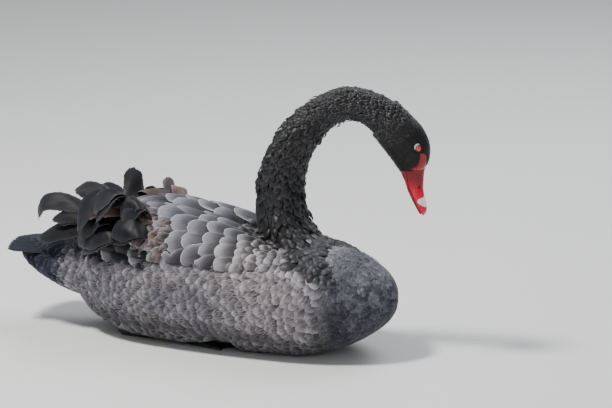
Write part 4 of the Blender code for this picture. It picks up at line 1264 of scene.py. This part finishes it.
def shoulder_zone(points):
    zone = zones(points)
    x, z = points[:, 0], points[:, 2]
    free = (zone["wedge"] + zone["breast"] < 0.3) * (zone["neck"] < 0.45)
    behind_neck = (x > 0.088) & (zone["neck"] > 0.10)
    return free * (z > wing_foot(x) - 0.003) * ((x > 0.112) | behind_neck)


def down_zone(points):
    zone = zones(points)
    reach = np.maximum(wedge_share(points + (0.010, 0, 0.014)), wedge_share(points))
    taken = zone["wing"] + reach * 3 + zone["neck"] * 3
    return (taken < 0.3) * (points[:, 2] > 0.030) * (points[:, 0] < 0.262)


def belly_zone(points):
    zone = zones(points)
    return zone["belly"] * (zone["breast"] < 0.5)


def down_coat(name, side):
    """Loose threads of down that fill the gaps between the tufts of one side."""
    roots, normals = ground.scatter(lambda p: down_zone(p) * (p[:, 1] * side > 0),
                                    lambda p: np.full(len(p), 0.0021))
    fore = ramp(roots[:, 0], 0.19, 0.25)
    size = (0.0092 - 0.0034 * fore) * np.exp(0.25 * RNG.standard_normal(len(roots)))
    grid, out = vanes(roots, normals, size, 0.00048, stations=6, columns=2, rise=0.0012,
                      camber=0.0, tip=0.0, ragged=0.1, ways=strayed(roots, 0.32), follow=0.3,
                      sunk=0.0040 - 0.0019 * fore, dome=0.9, root_width=0.3)
    feather_object(name, grid, out, roots, size, varied(markings(roots), 0.22), 0.0,
                   VANE["down"], "breast_grey")


def scale_tint(points):
    """The dark scales at the neck's foot, a little paler towards the breast."""
    return SCALE_BLACK * (0.8 + 1.1 * ramp(points[:, 0], 0.15, 0.24))[:, None]


head_coat()
neck_coat("coat_neck_lower", -1, 0.33)
neck_coat("coat_neck_middle", 0.33, 0.66)
neck_coat("coat_neck_upper", 0.66, 1.30)
coat("coat_shoulder_scales", "neck_black", "neck", lambda p: zones(p)["wedge"], 0.0070, 0.0088,
     spread=0.14, stray=0.0, length=2.4, width=1.65, shade=0.35, rim=(0.04, 0, 0),
     tint=scale_tint, stations=9, columns=9, rise=0.0066, camber=0.0032, tip=0.30, ragged=0.02,
     tilt=0.12, dome=0.8, blunt=2.2)
coat("coat_breast", "breast_grey", "down", breast_zone, 0.0030, 0.0030,
     spread=0.15, stray=0.30, length=3.0, width=2.1, shade=0.20, rim=(0.03, 0.35, 4),
     stations=6, columns=5, rise=0.0014, camber=0.0006, tip=0.30, ragged=0.10, tilt=0.15,
     dome=0.8)
for ending, side in SIDES:
    coat("coat_side_" + ending, "breast_grey", "soft",
         lambda p: side_zone(p) * (p[:, 1] * side > 0), 0.0072, 0.0074,
         spread=0.14, stray=0.26, length=2.7, width=2.1, shade=0.16, rim=(0.05, 0.35, 2),
         stations=9, columns=13, rise=0.0046, camber=0.0024, tip=0.30, ragged=0.07, tilt=0.18,
         dome=0.8, blunt=2.0)
coat("coat_shoulder_coverts", "wing_grey", "soft", shoulder_zone, 0.0080, 0.0080,
     spread=0.15, stray=0.22, length=2.3, width=1.7, shade=0.18, rim=(0.25, 0.5, 1),
     stations=9, columns=9, rise=0.0056, camber=0.0032, tip=0.28, ragged=0.015, tilt=0.15,
     dome=0.75, blunt=2.4)
for ending, side in SIDES:
    down_coat("coat_down_" + ending, side)
coat("coat_belly", "breast_grey", "soft", belly_zone, 0.0085, 0.0085,
     spread=0.12, stray=0.0, length=2.6, width=1.9, shade=0.20, rim=(0.15, 0, 0),
     stations=7, columns=9, rise=0.0036, camber=0.0018, tip=0.25, ragged=0.03, tilt=0.12,
     dome=0.7, blunt=2.2)


# The wings

# Rows of feathers over each wing, front to rear: (root, how many, length, width).
# They run from the small rounded ones at the shoulder to the broad ones over the back.
WING_ROWS = (
    (0.122, 7, 0.030, 0.021), (0.106, 6, 0.038, 0.027), (0.087, 5, 0.046, 0.033),
    (0.066, 5, 0.052, 0.036), (0.043, 4, 0.058, 0.041), (0.019, 4, 0.062, 0.043),
    (-0.006, 4, 0.064, 0.043), (-0.031, 4, 0.066, 0.044), (-0.056, 4, 0.066, 0.044),
    (-0.081, 4, 0.064, 0.042),
)


def make_wing(ending, side):
    """The coverts of one wing, in rows."""
    x, angle, length, width, rim = [], [], [], [], []
    for row, (at, count, long, wide) in enumerate(WING_ROWS):
        low, high, _, _ = wing_span(at)
        low, high = low + 5, min(high + 2, 89)
        for i in range(count):
            share = (i + 0.25 + 0.5 * (row % 2)) / count
            x.append(at + RNG.uniform(-0.004, 0.004))
            angle.append(low + (high - low) * share)
            length.append(long * RNG.uniform(0.92, 1.08))
            width.append(wide * RNG.uniform(0.92, 1.08))
            rim.append(RNG.uniform(0.60, 0.90))
    x, angle, length, width, rim = (np.array(v) for v in (x, angle, length, width, rim))
    order = np.argsort(angle)
    x, angle, length, width, rim = (v[order] for v in (x, angle, length, width, rim))
    roots, normals = ground.nearest(on_wing(x, angle, side))
    zone = zones(roots)
    free = (zone["neck"] < 0.35) & (zone["wedge"] < 0.5)
    roots, normals, x, angle, length, width, rim = (
        v[free] for v in (roots, normals, x, angle, length, width, rim))
    droop = 0.12 + 0.30 * (1 - ramp(angle, 35, 75)) + 0.25 * ramp(x, 0.07, 0.13)
    ways = np.stack([-np.ones(len(x)), 0.1 * side * np.ones(len(x)), -droop], -1)
    small = ramp(x, 0.075, 0.115)
    grid, out = vanes(roots, normals, length, width, stations=18, columns=15,
                      rise=0.0012 + 0.0050 * length / 0.06 + 0.0036 * small,
                      camber=0.0026 + 0.0004 * small, tip=0.26, ragged=0.008, ways=unit(ways),
                      follow=0.0, shingle=-SHINGLE * side, root_width=0.82, blunt=2.6,
                      dome=0.35, tilt=0.05)
    feather_object("coverts_" + ending, grid, out, roots, length, varied(markings(roots), 0.10),
                   rim, VANE["wing"], "wing_grey", thick=0.0006)


def bent_vanes(rows, side, stations, columns):
    """Grids of feathers that leave the wing, rise and curl over a crest to a tip."""
    grids, faces, roots, spans = [], [], [], []
    share = np.linspace(0, 1, stations)
    across = np.linspace(-1, 1, columns)
    for x, degrees, rise, crest, tip, width, roll in rows:
        root = on_wing(x, degrees, side, 0.5)
        rise, crest, tip = (on_side(np.array(spot, float), side) for spot in (rise, crest, tip))
        drooped = tip[2] < crest[2]
        reach = 1 - (0.18 if drooped else 0.15) * np.abs(across) ** 2.6
        reach = reach * (1 + 0.014 * RNG.standard_normal(columns))
        s = (share[:, None] * reach[None])[..., None]
        rest = 1 - s
        centre = (root * rest ** 3 + rise * 3 * s * rest ** 2 + crest * 3 * s ** 2 * rest
                  + tip * s ** 3)
        along = unit((rise - root) * rest ** 2 + (crest - rise) * 2 * s * rest
                     + (tip - crest) * s ** 2)
        course = tip - root
        level = unit(np.array([-course[1], course[0], 0.0]))
        wide = unit(level - along * dot(along, level))
        normal = np.cross(along, wide)
        turn = math.radians(roll) * side * np.minimum(1.0, 2 * s)
        face = normal * np.cos(turn) - wide * np.sin(turn)
        wide = wide * np.cos(turn) + normal * np.sin(turn)
        outline = CURLED_OUTLINE if drooped else UPRIGHT_OUTLINE
        breadth = smooth_line(outline)(s[..., 0])
        fringe = np.abs(across[None]) ** 6 * RNG.uniform(-0.05, 0.02, (stations, 1))
        breadth = breadth * (1 + fringe * (s[..., 0] > 0.2))
        ripple = 0.0005 * np.sin(s[..., 0] * 9 + across[None] * 3 + x * 300)
        ripple = ripple + 0.0001 * np.sin(s[..., 0] * 23 - across[None] * 6 + x * 900)
        spot = centre + wide * (across[None] * breadth * width / 2)[..., None]
        cup = 0.0034 * across[None] ** 2 * (width / 0.036)
        spot = spot + face * (ripple - cup)[..., None]
        grids.append(spot)
        faces.append(face)
        roots.append(root)
        spans.append(np.linalg.norm(crest - root) + np.linalg.norm(tip - crest))
    return np.stack(grids), np.stack(faces), np.stack(roots), np.array(spans)


def in_metres(row):
    """One row of the tables of curled feathers, its lengths in metres."""
    x, degrees, rise, crest, tip, width, roll = row
    rise, crest, tip = (np.array(spot) / 1000 for spot in (rise, crest, tip))
    return x / 1000, degrees, rise, crest, tip, width / 1000, roll


def shifted(rows, amount, shrink):
    """The same feathers again, each a little to one side and lower."""
    made = []
    for x, degrees, rise, crest, tip, width, roll in rows:
        move = RNG.uniform(-amount, amount, 3) - (0, 0, amount * 0.5)
        made.append((x + RNG.uniform(-0.008, 0.008), degrees + RNG.uniform(-5, 3),
                     rise + move * 0.4, crest + move * 0.8, tip + move, width * shrink,
                     roll + RNG.uniform(-14, 14)))
    return made


def make_curled(ending, side):
    """The curled feathers of one wing in two layers, and the brown ones before them."""
    own = [in_metres(row) for row in CURLED[side]]
    drooped = [row for row in own if row[4][2] < row[3][2]]
    brown = [in_metres(row) for row in BROWN_TUFTS]
    rows = own + shifted(drooped, 0.008, 0.85) + brown
    grid, face, roots, span = bent_vanes(rows, side, 44, 17)
    count = len(rows)
    tint = np.tile(REAR_BLACK, (count, 1))
    tint[-len(brown):] = WARM_BROWN
    tint[[i for i, row in enumerate(own) if row[5] < 0.020]] = SIDE_GREY * 0.4
    rim = 0.04 + 0.10 * RNG.random(count)
    feather_object("curled_" + ending, grid, face, roots, span, varied(tint, 0.25), rim,
                   VANE["dark"], "wing_grey", thick=0.0007)


def make_scruff(ending, side):
    """Loose brown-grey down where the coverts end and the curled feathers begin."""
    count = 46
    x = RNG.uniform(-0.046, 0.002, count)
    angle = RNG.uniform(31, 58, count)
    roots, normals = ground.nearest(on_wing(x, angle, side))
    ways = np.stack([-np.ones(count), RNG.uniform(-0.3, 0.3, count),
                     RNG.uniform(-1.1, 0.3, count)], -1)
    length = 0.022 * RNG.uniform(0.75, 1.3, count)
    grid, out = vanes(roots, normals, length, length * 0.60, stations=9, columns=13,
                      rise=0.0080, camber=0.0030, tip=0.30, ragged=0.12, ways=unit(ways),
                      follow=0.0, tilt=0.30, dome=0.6)
    tint = mix(SIDE_GREY * 0.55, WARM_BROWN, RNG.random(count) * 0.8)
    feather_object("scruff_" + ending, grid, out, roots, length, varied(tint, 0.25),
                   0.15 + 0.3 * RNG.random(count), VANE["soft"], "wing_grey")


def make_lower_rear(ending, side):
    """Long black feathers that close the wing below the curled ones; their black is partly their
    own and partly painted shade for the hollow under the curled feathers.
    """
    x, angle = np.meshgrid(np.linspace(-0.020, -0.122, 6), np.linspace(26, 58, 6))
    back_x, back_angle = np.meshgrid(np.linspace(-0.095, -0.162, 5), np.linspace(60, 89, 5))
    x = np.concatenate([x.ravel(), back_x.ravel()])
    angle = np.concatenate([angle.ravel(), back_angle.ravel()])
    x = x + RNG.uniform(-0.005, 0.005, x.size)
    angle = angle + RNG.uniform(-2, 2, angle.size)
    roots, normals = ground.nearest(on_wing(x, angle, side))
    ways = np.tile(unit(np.array([-1.0, 0.0, -0.22])), (len(x), 1))
    length = 0.050 * RNG.uniform(0.85, 1.15, len(x))
    grid, out = vanes(roots, normals, length, 0.028, stations=12, columns=11, rise=0.0070,
                      camber=0.0020, tip=0.22, ragged=0.02, ways=ways, follow=0.0,
                      shingle=-SHINGLE * side, root_width=0.75, dome=0.4, blunt=2.4)
    feather_object("lower_rear_" + ending, grid, out, roots, length,
                   # This black is partly painted shade of the hollow under the curled feathers.
                   varied(np.tile(REAR_BLACK, (len(x), 1)), 0.3), 0.12,
                   VANE["dark"], "wing_grey", thick=0.0005)


for ending, side in SIDES:
    make_wing(ending, side)
    make_lower_rear(ending, side)
    make_scruff(ending, side)
    make_curled(ending, side)


# The tail

def make_tail_fan():
    """The long flat feathers of the tail, side by side."""
    stations, columns = 20, 13
    share = np.linspace(0, 1, stations)
    across = np.linspace(-1, 1, columns)
    grids, roots = [], []
    for place in range(TAIL_FEATHERS):
        side = 2 * place / (TAIL_FEATHERS - 1) - 1
        angle = math.radians(TAIL_SPREAD) * side
        root = np.array([TAIL_ROOT[0], TAIL_ROOT_SPREAD * side,
                         TAIL_ROOT[1] - abs(side) * 0.0055])
        along = np.array([-math.cos(angle), math.sin(angle), 0])
        wide = np.array([-along[1], along[0], 0])
        reach = (1 - 0.14 * np.abs(across) ** 2.4) * (1 + 0.008 * RNG.standard_normal(columns))
        s = share[:, None] * reach[None]
        breadth = np.interp(s, (0, 0.45, 0.86, 1.0), (0.60, 1.0, 0.95, 0.66))
        length = TAIL_LENGTH * (1 - TAIL_ROUNDING * side * side)
        spot = root + along * (length * s)[..., None]
        spot = spot + wide * (across[None] * breadth * TAIL_WIDTH / 2)[..., None]
        spot[..., 2] += 0.004 * s - 0.0003 * across[None] ** 2
        grids.append(spot)
        roots.append(root)
    grid = np.stack(grids)
    roots = np.stack(roots)
    tint = varied(np.tile(TAIL_SLATE, (TAIL_FEATHERS, 1)), 0.12)
    feather_object("tail_fan", grid, np.broadcast_to(UP, grid.shape), roots, TAIL_LENGTH, tint,
                   0.05, VANE["dark"], "tail_slate", thick=0.0004)


def make_upper_coverts():
    """The shorter feathers that lie over the fan's roots, above the roof line of the tail."""
    x, y = np.meshgrid(np.linspace(-0.176, -0.240, 7), np.linspace(-1, 1, 9), indexing="ij")
    y = y + (np.arange(7) % 2)[:, None] * 0.11
    spread = 0.034 - 0.10 * (x + 0.232)
    roots = np.stack([x, np.clip(y, -1, 1) * spread, np.full(x.shape, 0.130)], -1).reshape(-1, 3)
    spots, normals = ground.nearest(roots)
    roots = np.where(spots[:, 2:] > 0.100, spots, roots)
    ways = unit(np.stack([-np.ones(len(roots)), roots[:, 1] * 6, np.zeros(len(roots))], -1))
    grid, out = vanes(roots, normals, 0.044, 0.019, stations=10, columns=9, rise=0.0030,
                      camber=0.0014, tip=0.40, ragged=0.03, ways=ways, follow=0.0, hug=False,
                      sunk=0.0014, blunt=2.2)
    roof = 0.1158 - 0.25 * np.abs(grid[..., 1]) + 0.02 * (-grid[..., 0] - 0.21)
    grid[..., 2] = np.maximum(grid[..., 2], roof)
    feather_object("tail_upper_coverts", grid, out, roots, 0.040,
                   varied(np.tile(TAIL_SLATE, (len(roots), 1)), 0.2), 0.10, VANE["dark"],
                   "tail_slate", thick=0.0005)


def covert_zone(points):
    return (points[:, 0] < -0.165) & (zones(points)["wing"] < 0.6)


make_tail_fan()
make_upper_coverts()
coat("tail_coverts", "tail_slate", "dark", covert_zone, 0.0075, 0.0080,
     spread=0.15, stray=0.0, length=2.9, width=1.9, span=3.2, shade=0.22, rim=(0.02, 0.10, 2),
     stations=8, columns=9, rise=0.0048, camber=0.0024, tip=0.26, ragged=0.03, tilt=0.12,
     dome=0.7, blunt=2.2)


# The bill, the bare skin and the eyes

def bill_form(name, upper, finish, *nodes):
    """A fine form of the upper or lower bill, flat at the mouth line and arched outside."""
    top, foot = BILL_SECTIONS[0][0], BILL_SECTIONS[-1][0] + (0.0 if upper else 0.0028)
    heights = top + (foot - top) * np.linspace(0, 1, 90) ** 0.9
    culmen, mouth, lower, width = (curve(heights)[:, None] for curve in BILL_CURVES)
    sides = 56
    angle = np.arange(sides) * 2 * np.pi / sides
    across, out = np.cos(angle)[None], np.sin(angle)[None]
    edge = mouth + MOUTH_GAP / 2 if upper else mouth - MOUTH_GAP / 2
    reach = (culmen if upper else lower) - edge
    flat = np.where(out < 0, np.sign(across) * np.abs(across) ** 0.8, across)
    forward = edge + reach * np.maximum(out, 0.0) ** 0.9
    rise = math.tan(math.radians(BILL_SLANT)) * (forward - mouth)
    left = width * flat * (1 if upper else 0.9)
    rings = head_place(forward, heights[:, None] + rise, left)
    points, quads = closed_tube(rings)
    if not upper:
        quads = quads[:, ::-1]
    ahead, left, up = head_coordinates(points)
    hollow = np.zeros(len(points))
    if upper:
        for side in (1, -1):
            slot = np.hypot((ahead - NOSTRIL_PLACE[0]) / NOSTRIL_REACH[0],
                            (up - NOSTRIL_PLACE[1]) / NOSTRIL_REACH[1])
            hollow += (1 - ramp(slot, 0.45, 1.05)) * (left * side > 0.002)
        points = points - HEAD_LEFT * (np.sign(left) * hollow * NOSTRIL_DEPTH)[:, None]
    made = new_mesh(name, points, quads, finish)
    set_map(made, "place", np.stack([ahead, up], -1) / PLACE_SPAN)
    # The same hollow darkens the horn's colour there: painted shade in the nostril.
    set_values(made, "hollow", hollow)
    return finished(made, "bill_red", *nodes)


def make_lores(finish):
    """The bare red skin from each eye to the bill, proud of the face by a hair."""
    rows = np.linspace(0, 1, 34)
    rear, front = (
        np.stack([curve(rows) for curve in curves_through([edges[k] for edges in LORE_EDGES])], -1)
        for k in (0, 1)
    )
    columns = np.linspace(0, 1, 16)
    flat = rear[:, None] * (1 - columns)[None, :, None] + front[:, None] * columns[None, :, None]
    for ending, side in SIDES:
        spots = head_place(flat[..., 0], flat[..., 1], side * 0.03)
        inward = Vector(-HEAD_LEFT * side)
        found = np.empty_like(spots)
        for i in np.ndindex(spots.shape[:2]):
            hit = ground.tree.ray_cast(Vector(spots[i]), inward, 0.05)[0]
            found[i] = hit if hit is not None else ground.tree.find_nearest(Vector(spots[i]))[0]
        found, normal = ground.nearest(found)
        edge = np.minimum(columns, 1 - columns)[None] * 2
        proud = -0.0004 + 0.0019 * np.clip(edge * 2.2, 0, 1) ** 0.6
        found = found + normal * proud[..., None]
        quads = grid_quads(1, *found.shape[:2])
        if side > 0:
            quads = quads[:, ::-1]
        made = new_mesh("lore_" + ending, found.reshape(-1, 3), quads, finish)
        finished(made, "bill_red")


def eye_axes(side):
    """The eye's outlook and two directions square to it."""
    ahead, left, up = EYE_LOOKS
    look = unit(HEAD_AHEAD * ahead + HEAD_LEFT * left * side + UP * up)
    level = unit(np.cross(look, UP))
    return level, np.cross(level, look), look


def make_eyeball(ending, side, finish):
    """An eyeball with its pupil towards its outlook."""
    level, rise, look = eye_axes(side)
    centre = eye_place(side) - look * (EYE_RADIUS - EYE_BULGE)
    rings, sides = 40, 48
    polar = np.linspace(0.015, np.pi - 0.015, rings)[:, None]
    angle = (np.arange(sides) * 2 * np.pi / sides)[None]
    spots = (level * (np.sin(polar) * np.cos(angle))[..., None]
             + rise * (np.sin(polar) * np.sin(angle))[..., None]
             + look * (np.cos(polar) * np.ones_like(angle))[..., None])
    points, quads = closed_tube(centre + spots * EYE_RADIUS)
    made = new_mesh("eyeball_" + ending, points, quads, finish)
    away = (points - centre) / EYE_RADIUS
    flat = np.hypot(away @ level, away @ rise)
    out = np.where(away @ look > 0, flat, 2 - flat)
    turn = np.arctan2(away @ rise, away @ level) / (2 * np.pi) + 0.5
    set_map(made, "place", np.stack([turn, out / 2], -1))
    finished(made, "eye_red", "eye_" + ending)


def make_lids(ending, side, finish):
    """The ring of lids, with a fold above the eye."""
    level, rise, look = eye_axes(side)
    spokes, rounds = 64, 20
    turn = (np.arange(spokes) * 2 * np.pi / spokes)[:, None]
    roll = (np.arange(rounds) * 2 * np.pi / rounds)[None]
    above = np.clip(np.sin(turn - 0.5 * side), 0, 1)
    thick = LID_THICKNESS * (0.85 + 0.70 * above)
    crease = 1 + 0.07 * np.sin(roll * 5 + 1.5)
    reach = LID_RADIUS + 0.0006 * above + thick * np.cos(roll) * crease
    height = thick * 0.95 * np.sin(roll) * crease - 0.0002
    spoke = level * np.cos(turn)[..., None] + rise * np.sin(turn)[..., None]
    rings = eye_place(side) + spoke * reach[..., None] + look * height[..., None]
    rings = np.concatenate([rings, rings[:1]])
    quads = tube_quads(len(rings), rounds) % (spokes * rounds)
    made = new_mesh("lids_" + ending, rings[:-1].reshape(-1, 3), quads, finish)
    rear = np.clip(np.sin(turn - 0.85 * side), 0, 1) ** 1.5 * np.ones_like(roll)
    set_values(made, "pale", rear.ravel())
    finished(made, "neck_black")


bill_form("bill_horn_upper", True, horn_material(), "bill_upper", "bill_band", "bill_nail")
jaw = flesh_material("bill_jaw", (0.16, 0.0004, 0.006), (0.32, 0.002, 0.016), 260.0, 0.36)
bill_form("bill_horn_lower", False, jaw, "bill_lower")
make_lores(flesh_material("bare_red", (0.20, 0.0004, 0.006), (0.40, 0.001, 0.014), 240.0, 0.34))
eye_finish = eye_material()
lid_finish = lid_material()
for ending, side in SIDES:
    make_eyeball(ending, side, eye_finish)
    make_lids(ending, side, lid_finish)

leg_finish = leg_material()
for name in ("leg_left", "leg_right", "foot_left", "foot_right"):
    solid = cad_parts[name]
    solid.data.materials.clear()
    solid.data.materials.append(leg_finish)


# The floor, the light and the camera

FLOOR_REACH = 14.0
CAMERA_PLACE = (2.15783, -4.26380, 1.29769)
CAMERA_AIM = (0.12772, 0.08979, 0.18868)

# The lamps: place, aim, size, power and colour.
LAMPS = {
    "key": ((-0.8, -0.9, 2.6), (0.05, 0, 0.15), 0.5, 95, (1.0, 0.98, 0.95)),
    "fill": ((1.9, -2.4, 1.3), (0.10, 0, 0.15), 1.6, 16, (1.0, 0.99, 0.98)),
    "sky": ((0.6, 1.8, 2.4), (0.0, 0, 0.2), 2.0, 55, (0.93, 0.96, 1.0)),
}


def floor_material():
    finish = Finish("floor")
    cloud = finish.noise(finish.position(), 1.5, 3.0)
    return finish.surface(
        Base_Color=cloud.blend((0.76, 0.765, 0.76), (0.82, 0.82, 0.815)), Roughness=0.8)


def aimed(name, data, place, aim):
    """A lamp or a camera at a place, turned towards its aim."""
    made = bpy.data.objects.new(name, data)
    made.location = place
    made.rotation_euler = (Vector(aim) - Vector(place)).to_track_quat("-Z", "Y").to_euler()
    bpy.context.scene.collection.objects.link(made)
    return made


floor = np.array([(-1, -1, 0), (1, -1, 0), (1, 1, 0), (-1, 1, 0)]) * FLOOR_REACH
new_mesh("floor", floor, [(0, 1, 2, 3)], floor_material())
for name, (place, aim, size, power, colour) in LAMPS.items():
    lamp = bpy.data.lights.new(name, "AREA")
    lamp.size, lamp.energy, lamp.color = size, power, colour
    aimed(name, lamp, place, aim)
world = bpy.data.worlds.new("studio")
world.use_nodes = True
backdrop = world.node_tree.nodes["Background"]
backdrop.inputs["Color"].default_value = (0.88, 0.92, 0.96, 1.0)
backdrop.inputs["Strength"].default_value = 0.30
bpy.context.scene.world = world
lens = bpy.data.cameras.new("camera")
lens.lens, lens.sensor_width, lens.clip_end = 200.0, 36.0, 60.0
bpy.context.scene.camera = aimed("camera", lens, CAMERA_PLACE, CAMERA_AIM)
